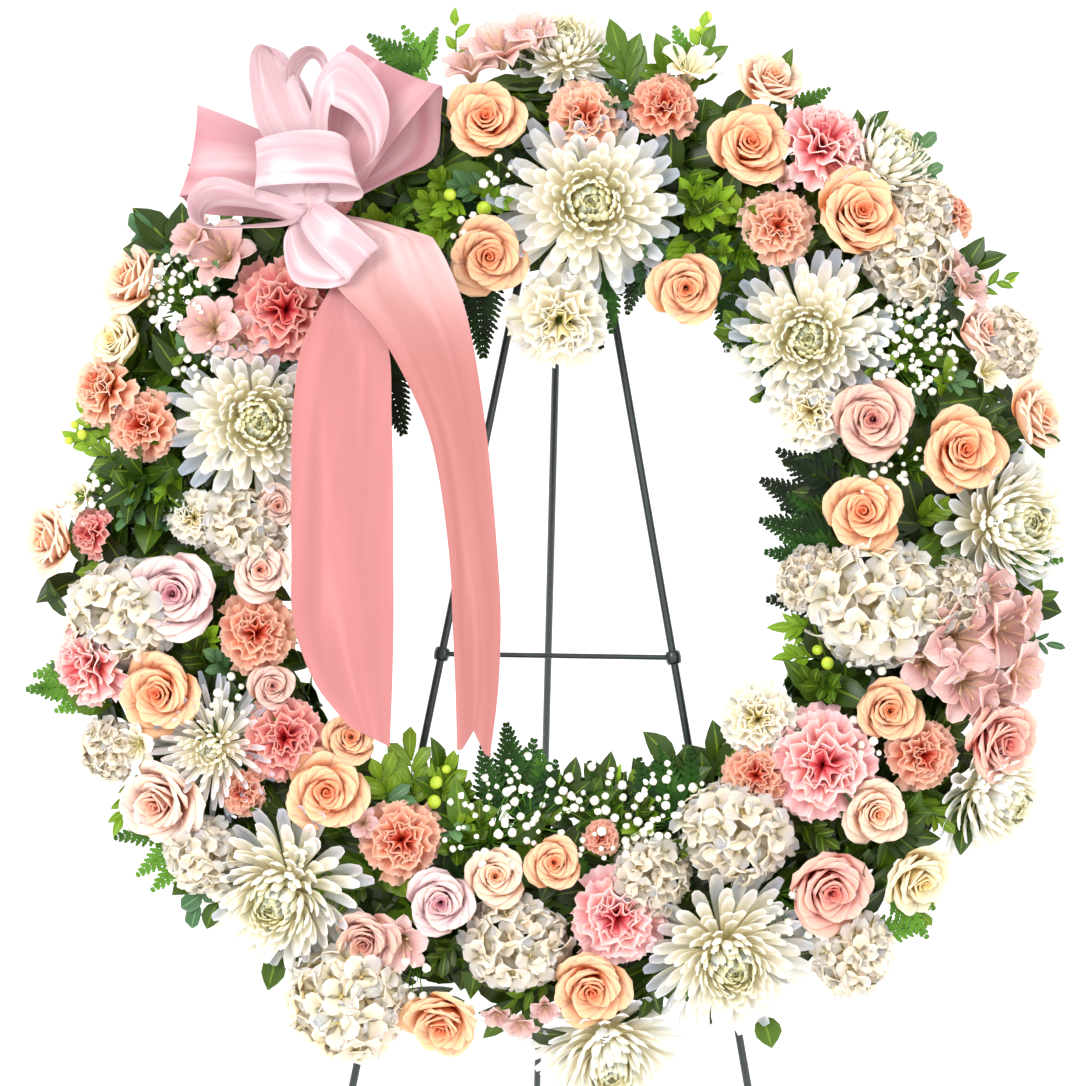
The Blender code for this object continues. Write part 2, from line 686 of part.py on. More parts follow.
def finish_name(node):
    for word, finish in (
        ("white", "white"), ("peach", "peach"), ("coral", "coral"), ("blush", "blush"),
        ("pink", "pink"), ("gypsophila", "gypsophila"),
    ):
        if node.startswith(word):
            return finish
    return "greens"


def stem_hole(start, end, stem_radius):
    """The plain hole that a stem stands in, cut from the foam."""
    run = (end - start).normalized()
    sides = 5
    radius = (stem_radius + HOLE_CLEARANCE) / math.cos(math.pi / sides)
    return rod(start, end + run * HOLE_END, radius, sides, name="hole")


def flower_nodes(parent, folder):
    """Every node of flower heads, each one body on one stem. Returns the holes for the stems."""
    heads = [Head(node, *row) for node, rows in HEADS.items() for row in rows]
    share_out_space(heads)
    holes = []
    for number, node in enumerate(HEADS):
        draw = random.Random(number)
        members = [head for head in heads if head.node == node]
        pieces = []
        for head in members:
            leader = head is members[0]
            if head.kind in ("gyp", "leafy"):
                pieces += (gypsophila if head.kind == "gyp" else leafy)(head, draw)
                if leader:
                    pieces.append(
                        rod(head.centre, head.stem_end, STALK_RADIUS, 6, end_radius=STALK_TIP)
                    )
            else:
                pieces.append(bloom(head, leader, draw))
        joined = [members[0]]
        for head in members[1:]:
            nearest = min(joined, key=lambda one: (one.centre - head.centre).length)
            pieces.append(rod(head.centre, nearest.centre, STALK_RADIUS, 3))
            joined.append(head)
        solid = combine(pieces[0], pieces[1:], "UNION") if len(pieces) > 1 else pieces[0]
        place(solid, node, finish_name(node), parent, folder)
        leader = members[0]
        stem_top, wide = leader.centre, STALK_RADIUS
        if leader.kind not in ("gyp", "leafy"):
            stem_top = leader.centre + leader.inside(leader.facing * (-HEAD_BACK * leader.radius))
            wide = STEM_RADIUS
        stem = stem_top - leader.stem_end
        mouth = min(HOLE_REACH, stem.length)
        if leader.kind not in ("gyp", "leafy"):
            wide *= mouth / stem.length
        holes.append(stem_hole(
            leader.stem_end + stem.normalized() * mouth, leader.stem_end, wide,
        ))
    return holes


def rim_green_nodes(parent, folder):
    """Leaves and fronds round the rim and in the hole, a hub and a foam pick to each node."""
    holes = []
    for node, (bearing, way, blades) in RIM_GREENS.items():
        angle = math.radians(bearing)
        out = Vector((math.cos(angle), 0, math.sin(angle)))
        deep = Vector((0, HUB_DEPTH, 0))
        wall = RING_MID + way * FOAM_HALF
        hub = out * (wall + way * HUB_STANDOFF) + deep
        pick_end = out * (RING_MID + way * PICK_DEPTH) + deep
        pieces = [ball(hub, (HUB_RADIUS,) * 3, 1, node)]
        pieces.append(rod(hub, pick_end, STALK_RADIUS, 6, end_radius=STALK_TIP))
        for i, (kind, x, z, length, width) in enumerate(blades):
            tip = Vector((x * MM, HUB_DEPTH + FROND_LAYER * (1 - i % 3), z * MM))
            normal = Vector((0.15 * (-1) ** i, -1, 0.1))
            pieces.append(blade(
                hub, tip, length * MM, width * MM, normal, FROND_ARCH, kind, "blade",
            ))
        solid = combine(pieces[0], pieces[1:], "UNION")
        place(solid, node, "greens", parent, folder)
        holes.append(stem_hole(
            out * (wall + way * HUB_HOLE_START) + deep, pick_end, STALK_RADIUS,
        ))
    return holes


def ribbon(sections, name, knot=None):
    """A strip of satin through its sections, with a thin wall."""
    rows = [
        (Vector(row[:3]) * MM, Vector(row[3:]) * MM) for row in sections
    ]
    if knot:
        first = tuple(knot.lerp(edge, 0.45) for edge in rows[0])
        last = tuple(knot.lerp(edge, 0.45) for edge in rows[-1])
        rows = [first] + rows + [last]
    bm = bmesh.new()
    bmesh.ops.create_grid(bm, x_segments=1, y_segments=len(rows) - 1, size=0.5)
    for vert in bm.verts:
        row = round((vert.co.y + 0.5) * (len(rows) - 1))
        vert.co = rows[row][0 if vert.co.x < 0 else 1]
    bmesh.ops.triangulate(bm, faces=bm.faces)
    obj = object_of(bm, name)
    wall = obj.modifiers.new("satin", "SOLIDIFY")
    wall.thickness = RIBBON
    wall.offset = 0
    wall.use_even_offset = False
    return bake(obj)


def bow_nodes(parent, folder):
    """The bow's wide and narrow loops, each set on its own knot, and the two tails."""
    made = []
    centre, radii = WIDE_KNOT
    pieces = [ball(centre, radii, 2, "bow_wide_loops")]
    core = foam_core(centre)
    out = (centre - core).normalized()
    pick_end = core + out * STEM_SINK
    pieces.append(rod(centre, pick_end, STALK_RADIUS, 6, end_radius=STALK_TIP))
    pieces += [ribbon(rows, name, centre) for name, rows in WIDE_LOOPS.items()]
    made.append((combine(pieces[0], pieces[1:], "UNION"), "bow_wide_loops", "satin_pink"))
    centre, radii = NARROW_KNOT
    pieces = [ball(centre, radii, 1, "bow_narrow_loops")]
    pieces += [ribbon(rows, name, centre) for name, rows in NARROW_LOOPS.items()]
    made.append((combine(pieces[0], pieces[1:], "UNION"), "bow_narrow_loops", "satin_pale"))
    for name, rows in TAILS.items():
        made.append((ribbon(rows, name), name, "satin_pink"))
    for solid, name, finish in made:
        place(solid, name, finish, parent, folder)
    return [stem_hole(pick_end + out * HOLE_REACH, pick_end, STALK_RADIUS)]


def ring_nodes(parent, folder, holes):
    """The plastic tray with a band round each leg, and the foam with its stem holes."""
    upright = Matrix.Translation(RING_SHIFT) @ Matrix.Rotation(math.radians(90), 4, "X")
    inner, outer = RING_MID - FOAM_HALF, RING_MID + FOAM_HALF
    shoulder = FOAM_FRONT - FOAM_CHAMFER
    foam = turned((
        (inner, FOAM_BACK), (outer, FOAM_BACK), (outer, shoulder), (outer - FOAM_CHAMFER, FOAM_FRONT),
        (inner + FOAM_CHAMFER, FOAM_FRONT), (inner, shoulder),
    ), RING_STEPS, "foam_ring")
    foam.data.transform(upright)
    foam = combine(foam, holes, "DIFFERENCE")
    place(foam, "foam_ring", "foam", parent, folder)
    wall_in, wall_out = inner - TRAY_CLEARANCE, outer + TRAY_CLEARANCE
    floor = TRAY_BACK + TRAY_FLOOR
    tray = turned((
        (wall_in - WALL, TRAY_BACK), (wall_out + WALL, TRAY_BACK), (wall_out + WALL, TRAY_LIP),
        (wall_out, TRAY_LIP), (wall_out, floor), (wall_in, floor), (wall_in, TRAY_LIP),
        (wall_in - WALL, TRAY_LIP),
    ), RING_STEPS, "ring_tray")
    tray.data.transform(upright)
    bands = []
    for level in BAND_LEVELS:
        for side in (-1, 1):
            axis = leg_axis()
            axis.x *= side
            where = leg_point(side, level)
            bands.append(sleeve(where, axis, EYE_BORE, BAND_OUTER, BAND_WIDTH, 8, "band"))
    tray = combine(tray, bands, "UNION")
    place(tray, "ring_tray", "tray", parent, folder)


def front_frame_nodes(parent, folder, to_world):
    """The two front legs and the crossbar with its collars."""
    foot = -FOOT_BELOW_RING - 0.008
    pin_left = -LEFT_TOP - 0.0035
    right = wire([
        leg_point(1, foot), leg_point(1, leg_knee(1)), Vector((RIGHT_TOP, 0, APEX_ABOVE_RING - 0.004)),
        Vector((RIGHT_TOP - 0.004, 0, APEX_ABOVE_RING)), Vector((pin_left, 0, APEX_ABOVE_RING)),
    ], LEG_RADIUS, "front_leg_right")
    cut_at_floor(right, to_world)
    place(right, "front_leg_right", "wire", parent, folder)
    left = wire([
        leg_point(-1, foot), leg_point(-1, leg_knee(-1)),
        Vector((-LEFT_TOP, 0, APEX_ABOVE_RING - 0.005)),
    ], LEG_RADIUS, "front_leg_left")
    eye = sleeve(
        Vector((-LEFT_TOP, 0, APEX_ABOVE_RING)), Vector((1, 0, 0)), EYE_BORE, EYE_OUTER, 0.005, 12, "eye",
    )
    left = combine(left, [eye], "UNION")
    cut_at_floor(left, to_world)
    place(left, "front_leg_left", "wire", parent, folder)
    reach = CROSSBAR_HALF - 0.0045
    bar = rod(
        Vector((-reach, 0, CROSSBAR_LEVEL)), Vector((reach, 0, CROSSBAR_LEVEL)), CROSSBAR_RADIUS, 8,
    )
    collars = []
    for side in (-1, 1):
        axis = leg_axis()
        axis.x *= side
        where = leg_point(side, CROSSBAR_LEVEL)
        collars.append(sleeve(where, axis, EYE_BORE, COLLAR_OUTER, COLLAR_LENGTH, 8, "collar"))
    bar = combine(bar, collars, "UNION")
    place(bar, "crossbar", "wire", parent, folder)


def rear_leg_node(folder, to_world):
    """The rear leg, its origin on the apex pin's axis."""
    pivot = to_world @ Vector((0, 0, APEX_ABOVE_RING))
    length = pivot.z / math.cos(REAR_LEAN) + 0.008
    leg = wire([
        Vector((REAR_EYE_SHIFT, 0, -0.005)), Vector((REAR_FOOT_SHIFT, 0, -length)),
    ], LEG_RADIUS, "rear_leg")
    eye = sleeve(
        Vector((REAR_EYE_SHIFT, 0, 0)), Vector((1, 0, 0)), EYE_BORE, EYE_OUTER, REAR_EYE_WIDTH, 12, "eye",
    )
    leg = combine(leg, [eye], "UNION")
    stand = Matrix.Translation(pivot) @ Matrix.Rotation(REAR_LEAN, 4, "X")
    cut_at_floor(leg, stand)
    place(leg, "rear_leg", "wire", None, folder)
    leg.matrix_world = stand


def main():
    clear_scene()
    folder = bpy.data.collections.new("funeral_wreath")
    bpy.context.scene.collection.children.link(folder)
    frame = bpy.data.objects.new("front_frame", None)
    folder.objects.link(frame)
    frame.location = ORIGIN_SHIFT + Vector((0, 0, FOOT_BELOW_RING * math.cos(LEAN)))
    frame.rotation_euler = (-LEAN, 0, 0)
    to_world = Matrix.Translation(frame.location) @ Matrix.Rotation(-LEAN, 4, "X")
    ring = bpy.data.objects.new("ring_centre", None)
    folder.objects.link(ring)
    ring.parent = frame
    ring.location = RING_SHIFT
    holes = flower_nodes(ring, folder) + rim_green_nodes(ring, folder) + bow_nodes(ring, folder)
    for hole in holes:
        hole.data.transform(Matrix.Translation(RING_SHIFT))
    ring_nodes(frame, folder, holes)
    front_frame_nodes(frame, folder, to_world)
    rear_leg_node(folder, to_world)
    bpy.context.view_layer.update()


main()
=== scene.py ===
import math
import random

import bpy
import numpy as np
from mathutils import Matrix, Vector


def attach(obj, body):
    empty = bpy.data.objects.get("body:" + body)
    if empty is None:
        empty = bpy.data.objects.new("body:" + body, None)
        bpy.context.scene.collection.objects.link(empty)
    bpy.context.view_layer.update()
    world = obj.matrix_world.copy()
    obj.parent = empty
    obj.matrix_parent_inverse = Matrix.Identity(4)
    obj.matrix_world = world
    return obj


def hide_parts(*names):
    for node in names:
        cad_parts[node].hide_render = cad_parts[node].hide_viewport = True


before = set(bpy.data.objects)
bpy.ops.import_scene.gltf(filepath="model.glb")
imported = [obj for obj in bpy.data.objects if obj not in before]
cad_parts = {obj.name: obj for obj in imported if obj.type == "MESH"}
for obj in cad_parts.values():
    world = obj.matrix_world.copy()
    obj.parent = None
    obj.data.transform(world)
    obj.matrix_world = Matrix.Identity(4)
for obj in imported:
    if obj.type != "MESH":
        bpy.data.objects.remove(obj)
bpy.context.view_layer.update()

# The easel is three lengths of 6 mm steel wire and a 4 mm crossbar, painted a green that is nearly
# black. The right leg is bent over at the top as a pin for the eyes of the other two legs, and the
# crossbar ends in collars crimped round the front legs, so the rear leg can fold flat.
lean = math.radians(12)
ring_height = 0.8466 * math.cos(lean)
standing = Matrix.Translation((0.0076, -0.1323, ring_height)) @ Matrix.Rotation(-lean, 4, "X")
apex = 0.372
toe = -0.87
bar_level, bar_half, splay = -0.084, 0.088, 0.19
wire_radius = 0.003


def linear(colour):
    """An sRGB hex colour as linear red, green, blue and an alpha of 1."""
    parts = [int(colour[i:i + 2], 16) / 255 for i in (1, 3, 5)]
    return [p / 12.92 if p <= 0.04045 else ((p + 0.055) / 1.055) ** 2.4 for p in parts] + [1.0]


def add_node(material, kind, settings={}, links={}):
    """Adds a node with its settings, which are inputs, properties or a ramp's stops, and its links,
    each from another node's first output or from the output that is named."""
    tree = material.node_tree
    node = tree.nodes.new("ShaderNode" + kind)
    for key, value in settings.items():
        if key == "stops":
            ramp = node.color_ramp.elements
            while len(ramp) < len(value):
                ramp.new(0.5)
            for stop, (place, colour) in zip(ramp, value):
                stop.position = place
                stop.color = linear(colour)
        elif isinstance(key, int) or key in node.inputs:
            node.inputs[key].default_value = value
        else:
            setattr(node, key, value)
    for key, source in links.items():
        source, output = source if isinstance(source, tuple) else (source, 0)
        tree.links.new(source.outputs[output], node.inputs[key])
    return node


def new_finish(name, **settings):
    """A Principled material with its plain values on its own sockets."""
    material = bpy.data.materials.new(name)
    material.use_nodes = True
    shader = material.node_tree.nodes["Principled BSDF"]
    for key, value in settings.items():
        shader.inputs[key.replace("_", " ")].default_value = value
    return material, shader


def surfaced(material, shader, colour, height, strength, distance, **more):
    """Ends a material's graph: its colour, and its fine relief in metres."""
    relief = add_node(material, "Bump", {"Strength": strength, "Distance": distance, **more},
                      {"Height": height})
    for source, socket in ((colour, "Base Color"), (relief, "Normal")):
        material.node_tree.links.new(source.outputs[0], shader.inputs[socket])


def mottled(name, pattern, scale, stops, strength, distance, detail=None, **settings):
    """A material whose colour and relief both come from one fine pattern on the object itself."""
    material, shader = new_finish(name, **settings)
    place = add_node(material, "TexCoord")
    mottle = add_node(material, pattern, {"Scale": scale, **(detail or {})}, {"Vector": (place, "Object")})
    tone = add_node(material, "ValToRGB", {"stops": stops}, {"Fac": mottle})
    surfaced(material, shader, tone, mottle, strength, distance)
    return material


def from_middle(material, split):
    """How far a point is from its strip's middle line, 0 to 0.5."""
    aside = add_node(material, "Math", {"operation": "SUBTRACT", 1: 0.5}, {0: (split, "X")})
    return add_node(material, "Math", {"operation": "ABSOLUTE"}, {0: aside})


def ranged(material, source, low, high, start, end, **more):
    """Maps low..high to start..end."""
    return add_node(material, "MapRange", {
        "From Min": low, "From Max": high, "To Min": start, "To Max": end, **more}, {"Value": source})


def blended(material, share, under, over):
    """A colour over another by a share."""
    return add_node(material, "MixRGB", {"Color2": linear(over)}, {"Fac": share, "Color1": under})


def select_only(*pieces):
    bpy.ops.object.select_all(action="DESELECT")
    for piece in pieces:
        piece.select_set(True)
    bpy.context.view_layer.objects.active = pieces[0]


def joined(pieces, name):
    """Joins pieces into the first of them."""
    select_only(*pieces)
    if len(pieces) > 1:
        bpy.ops.object.join()
    pieces[0].name = name
    pieces[0].data.name = name
    return pieces[0]


def finished(piece, material, body="stand_and_wreath", nodes=(), smooth=50):
    """Gives a piece its material and says what it rides on and stands for."""
    piece.data.materials.clear()
    piece.data.materials.append(material)
    select_only(piece)
    bpy.ops.object.shade_smooth_by_angle(angle=math.radians(smooth))
    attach(piece, body)
    if nodes:
        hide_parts(*nodes)
    return piece


def drawn_wire(name, points, radius, frame_of):
    """A wire through its points, closed at both ends and made a mesh."""
    select_only(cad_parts["crossbar"])
    bpy.ops.curve.primitive_bezier_curve_add()
    piece = bpy.context.object
    spline = piece.data.splines[0]
    spline.bezier_points.add(len(points) - 2)
    for knot, point in zip(spline.bezier_points, points):
        knot.handle_left_type = knot.handle_right_type = "VECTOR"
        knot.co = frame_of @ Vector(point)
    piece.data.resolution_u = 1
    piece.data.bevel_depth = radius
    piece.data.bevel_resolution = 6
    piece.data.use_fill_caps = True
    select_only(piece)
    bpy.ops.object.convert(target="MESH")
    piece = bpy.context.object
    piece.name = name
    bpy.ops.object.transform_apply(location=True, rotation=True, scale=True)
    bpy.ops.object.mode_set(mode="EDIT")
    bpy.ops.mesh.select_all(action="SELECT")
    bpy.ops.mesh.remove_doubles(threshold=0.00001)
    bpy.ops.mesh.bisect(plane_co=(0, 0, 0), plane_no=(0, 0, 1), use_fill=True, clear_inner=True)
    bpy.ops.mesh.select_all(action="SELECT")
    bpy.ops.mesh.normals_make_consistent(inside=False)
    bpy.ops.object.mode_set(mode="OBJECT")
    return piece


def wire_eye(name, centre, axis, bore, outer, length, frame_of):
    """A ring of wire round an axis, with a rounded lip."""
    turn = Vector(axis).to_track_quat("Z", "Y").to_matrix().to_4x4()
    middle = (bore + outer) / 2
    bpy.ops.mesh.primitive_torus_add(
        major_radius=middle, minor_radius=(outer - bore) / 2, major_segments=32, minor_segments=12)
    piece = bpy.context.object
    piece.name = name
    stretch = Matrix.Scale(length / (outer - bore), 4, (0, 0, 1))
    piece.data.transform(frame_of @ Matrix.Translation(centre) @ turn @ stretch)
    return piece


leg_top = {1: 0.0085, -1: 0.012}


def leg_at(side, level):
    """Where a front leg's middle line is at a level; above the knee it runs straight up."""
    return (side * max(leg_top[side], bar_half + splay * (bar_level - level)), 0, level)


def knee(side):
    return leg_at(side, bar_level + (bar_half - leg_top[side]) / splay)


paint = mottled(
    "wire_enamel", "TexNoise", 140.0, [(0.3, "#0E191C"), (0.62, "#172728"), (0.8, "#2A3D3B")], 0.15, 0.0003,
    {"Detail": 3.0}, Metallic=0.0, Roughness=0.34, IOR=1.5, Coat_Weight=0.35, Coat_Roughness=0.2)

bend_radius = 0.004
bend = [(leg_top[1] - bend_radius + bend_radius * math.cos(a), 0,
         apex - bend_radius + bend_radius * math.sin(a)) for a in np.linspace(0.2, 1.57, 5)]
right_leg = drawn_wire("easel_leg_right", [leg_at(1, toe), knee(1)] + bend + [(-0.0155, 0, apex)],
                       wire_radius, standing)
finished(right_leg, paint, nodes=["front_leg_right"])
left_leg = drawn_wire("easel_leg_left", [leg_at(-1, toe), knee(-1), (-0.012, 0, apex - 0.005)],
                      wire_radius, standing)
left_eye = wire_eye("left_eye", (-0.012, 0, apex), (1, 0, 0), 0.0034, 0.0068, 0.0055, standing)
finished(joined([left_leg, left_eye], "easel_leg_left"), paint, nodes=["front_leg_left"])
bar = drawn_wire("easel_crossbar", [(-0.0835, 0, bar_level), (0.0835, 0, bar_level)], 0.002, standing)


def round_leg(name, side, level, bore, outer, length):
    """A band round a front leg."""
    return wire_eye(name, leg_at(side, level), Vector((side * splay, 0, -1)).normalized(),
                    bore, outer, length, standing)


collars = [round_leg("collar", side, bar_level, 0.0033, 0.0060, 0.010) for side in (-1, 1)]
finished(joined([bar] + collars, "easel_crossbar"), paint, nodes=["crossbar"])

pivot = standing @ Vector((0, 0, apex))
rear_lean = math.radians(18)
swinging = Matrix.Translation(pivot) @ Matrix.Rotation(rear_lean, 4, "X")
rear_length = pivot.z / math.cos(rear_lean) + 0.008
rear = drawn_wire("easel_leg_rear", [(-0.0027, 0, -0.005), (-0.012, 0, -rear_length)],
                  wire_radius, swinging)
rear_eye = wire_eye("rear_eye", (-0.0027, 0, 0), (1, 0, 0), 0.0034, 0.0068, 0.012, swinging)
finished(joined([rear, rear_eye], "easel_leg_rear"), paint, body="rear_leg",
         nodes=["rear_leg"])

# The ring is a green moulded plastic tray with a rim round wet floral foam, and four ties hold the
# tray to the front legs. Moulding leaves it satin, with faint flow marks. The foam is matt and pitted.
hanging = standing @ Matrix.Translation((-0.008, 0, 0))
ring_mid = 0.265
tray_in, tray_out = ring_mid - 0.040, ring_mid + 0.040
select_only(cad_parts["crossbar"])
bpy.ops.mesh.primitive_circle_add(vertices=12, radius=0.01)
tray = bpy.context.object
tray_section = [
    (tray_in - 0.002, 0.0040), (tray_in - 0.0015, 0.0035), (tray_out + 0.0015, 0.0035),
    (tray_out + 0.002, 0.0040), (tray_out + 0.002, 0.0165), (tray_out + 0.0015, 0.017),
    (tray_out, 0.0165), (tray_out, 0.0055), (tray_in, 0.0055), (tray_in, 0.0165),
    (tray_in - 0.0015, 0.017), (tray_in - 0.002, 0.0165),
]
for vertex, (radius, forward) in zip(tray.data.vertices, tray_section):
    vertex.co = (radius, -forward, 0)
select_only(tray)
bpy.ops.object.mode_set(mode="EDIT")
bpy.ops.mesh.select_all(action="SELECT")
bpy.ops.mesh.spin(steps=120, angle=2 * math.pi, center=(0, 0, 0), axis=(0, 1, 0))
bpy.ops.mesh.select_all(action="SELECT")
bpy.ops.mesh.remove_doubles(threshold=0.00002)
bpy.ops.mesh.normals_make_consistent(inside=False)
bpy.ops.object.mode_set(mode="OBJECT")
tray.data.transform(hanging)
ties = [round_leg("tie", side, level, 0.0032, 0.0052, 0.006) for level in (0.265, -0.262) for side in (-1, 1)]
plastic = mottled(
    "tray_polypropylene", "TexNoise", 26.0, [(0.3, "#0F2F1E"), (0.7, "#184329")], 0.2, 0.0004,
    {"Detail": 5.0, "Distortion": 1.2}, Roughness=0.42, IOR=1.49)
finished(joined([tray] + ties, "foam_tray"), plastic, nodes=["ring_tray"], smooth=35)

# The pits are darker than the foam between them: painted shade in the hollows.
wet_foam = mottled("phenolic_foam", "TexVoronoi", 420.0, [(0.0, "#0C2412"), (0.6, "#1F4A26")], 0.8, 0.0008,
                   Roughness=0.95)
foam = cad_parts["foam_ring"]
foam.data.materials.clear()
foam.data.materials.append(wet_foam)

# Football and spider mums have some two hundred strap petals each, spoon-shaped at their tips. The
# outer ones lie open and the inner ones curl in over a green-yellow eye. Every head stands on the
# foam's dome of flowers, facing between outwards and the viewer.
hang_turn = math.radians(0.9)
dome_half, dome_low, dome_rise, core_depth = 0.143, 0.048, 0.050, 0.022


def on_ring(x, z):
    """A place in mm right of and above the ring's centre, turned as the ring hangs, in metres."""
    return Vector((
        x * math.cos(hang_turn) - z * math.sin(hang_turn), 0,
        x * math.sin(hang_turn) + z * math.cos(hang_turn),
    )) * 0.001


def on_dome(x, z, sink=0.0):
    """The place of a flower's heart over the ring, and the way out from the foam there."""
    point = on_ring(x, z)
    rho = point.length
    across = min(1.0, abs(rho - ring_mid) / dome_half)
    point.y = -(dome_low + dome_rise * math.sqrt(1 - across * across)) + sink
    core = Vector((point.x / rho * ring_mid, -core_depth, point.z / rho * ring_mid))
    return point, (point - core).normalized()


def head_place(x, z, width, turn=0.55, spin=0.0, sink=0.0):
    """Puts a head of radius 1 that faces +Z where it belongs on the wreath."""
    point, out = on_dome(x, z, sink)
    facing = (out * turn + Vector((0, -1, 0)) * (1 - turn)).normalized()
    aim = facing.to_track_quat("Z", "Y").to_matrix().to_4x4()
    size = Matrix.Scale(width * 0.0005, 4)
    return hanging @ Matrix.Translation(point) @ aim @ Matrix.Rotation(spin, 4, "Z") @ size


def planted(master, name, place, petals, node):
    """Plants a copy of a flower in its place; the first word of its node is its petals' colour."""
    bloom = own_copy(master, name)
    bloom.data.transform(head_place(*place))
    finished(bloom, petals, nodes=[node], smooth=80)


def flat_petal(columns, rows):
    """A flat grid that starts each petal or leaf, with its own ring attribute."""
    select_only(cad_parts["crossbar"])
    bpy.ops.mesh.primitive_grid_add(x_subdivisions=columns, y_subdivisions=rows, size=2)
    grid = bpy.context.object
    grid.data.attributes.new("ring", "FLOAT", "POINT")
    return grid


def own_copy(piece, name):
    made = piece.copy()
    made.data = piece.data.copy()
    made.name = name
    bpy.context.scene.collection.objects.link(made)
    return made


def shaped_copies(grid, name, specs, shape):
    """Copies a flat petal once for each spec and moves its points as `shape` says."""
    flat = np.empty(len(grid.data.vertices) * 3, np.float32)
    grid.data.vertices.foreach_get("co", flat)
    across, along = flat[0::3], (flat[1::3] + 1) / 2
    made = []
    for spec in specs:
        petal = own_copy(grid, name)
        points = shape(across, along, spec)
        petal.data.vertices.foreach_set("co", np.ascontiguousarray(points, np.float32).ravel())
        ring = np.full(len(across), spec.get("ring", 0.5), np.float32)
        petal.data.attributes["ring"].data.foreach_set("value", ring)
        made.append(petal)
    bpy.data.objects.remove(grid)
    return joined(made, name)


def thickened(piece, thickness):
    """Gives a joined set of petals their thickness as closed solids."""
    select_only(piece)
    wall = piece.modifiers.new("thickness", "SOLIDIFY")
    wall.thickness = thickness
    wall.offset = 0
    wall.use_even_offset = False
    bpy.ops.object.modifier_apply(modifier=wall.name)
    return piece


def strap(across, along, spec):
    """A petal that leaves its flower's axis at a foot and bends from one angle to another."""
    start, end = spec["start"], spec["end"]
    bend_by = end - start if abs(end - start) > 1e-3 else 1e-3
    angle = start + bend_by * along
    radius = spec["foot"][0] + spec["length"] * (np.cos(start) - np.cos(angle)) / bend_by
    height = spec["foot"][1] + spec["length"] * (np.sin(angle) - np.sin(start)) / bend_by
    half = spec["half"] * np.interp(along, spec["outline"][0], spec["outline"][1])
    lift = spec["cup"] * across * across * half + spec.get("ruffle", 0.0) * along ** 1.5 * np.sin(
        across * spec.get("waves", 3.0) + spec.get("phase", spec["azimuth"] * 7))
    radius = radius - np.cos(angle) * lift
    height = height + np.sin(angle) * lift
    turn = spec["azimuth"]
    return np.stack([
        radius * np.cos(turn) - across * half * np.sin(turn),
        radius * np.sin(turn) + across * half * np.cos(turn), height,
    ], axis=1)


golden = math.pi * (3 - math.sqrt(5))
spoon = ((0, 0.33, 0.67, 0.84, 1.0), (0.42, 0.72, 1.0, 1.0, 0.55))


def mum_head(name, count, longest, petal_half, open_by, seed):
    draw = random.Random(seed)
    specs = []
    for i in range(count):
        t = (i + 0.5) / count
        specs.append({
            "azimuth": i * golden + draw.uniform(-0.12, 0.12), "ring": t,
            "foot": (0.10 + 0.16 * t ** 0.6, 0.24 - 0.58 * t),
            "start": 0.10 + 1.65 * t ** 0.7 + draw.uniform(-0.07, 0.07),
            "end": -1.30 + open_by * t ** 0.8 + draw.uniform(-0.16, 0.16),
            "length": (0.20 + longest * t ** 0.7) * draw.uniform(0.92, 1.06),
            "half": petal_half * (0.38 + 0.62 * t ** 0.8), "cup": 0.45, "outline": spoon,
        })
    return thickened(shaped_copies(flat_petal(2, 6), name, specs, strap), 0.012)


football_mum = mum_head("football_mum", 205, 0.82, 0.096, 2.38, 3)
spider_mum = mum_head("spider_mum", 170, 0.96, 0.062, 2.80, 4)


def petal_finish(name, heart, body, tip, eye, eye_reach=0.22, streak=0.10, shade=None, glow=0.5,
                 depth=0.006):
    """Petal tissue: soft and slightly see-through, veined along its length, its colour running from
    the heart to the tip, with the flower's middle in its own colour."""
    material, shader = new_finish(
        name, Roughness=0.6, IOR=1.4, Specular_IOR_Level=0.25, Subsurface_Weight=glow,
        Subsurface_Scale=depth)
    shader.inputs["Subsurface Radius"].default_value = (1.0, 0.75, 0.45)
    flat = add_node(material, "UVMap", {"uv_map": "UVMap"})
    split = add_node(material, "SeparateXYZ", {}, {"Vector": flat})
    ring = add_node(material, "Attribute", {"attribute_name": "ring"})
    gradient = add_node(material, "ValToRGB", {"stops": [
        (0.05, heart), (0.55, body), (1.0, tip),
    ]}, {"Fac": (split, "Y")})
    hearted = blended(material, ranged(material, (ring, "Fac"), 0.0, eye_reach, 0.85, 0.0), gradient, eye)
    stretch = add_node(material, "Mapping", {"Scale": (22.0, 1.5, 1.0)}, {"Vector": flat})
    veins = add_node(material, "TexNoise", {"Scale": 1.0, "Detail": 2.0}, {"Vector": stretch})
    veined = blended(material, ranged(material, veins, 0.35, 0.75, 0.0, streak), hearted, shade or heart)
    surfaced(material, shader, veined, veins, 0.25, 0.0006)
    return material


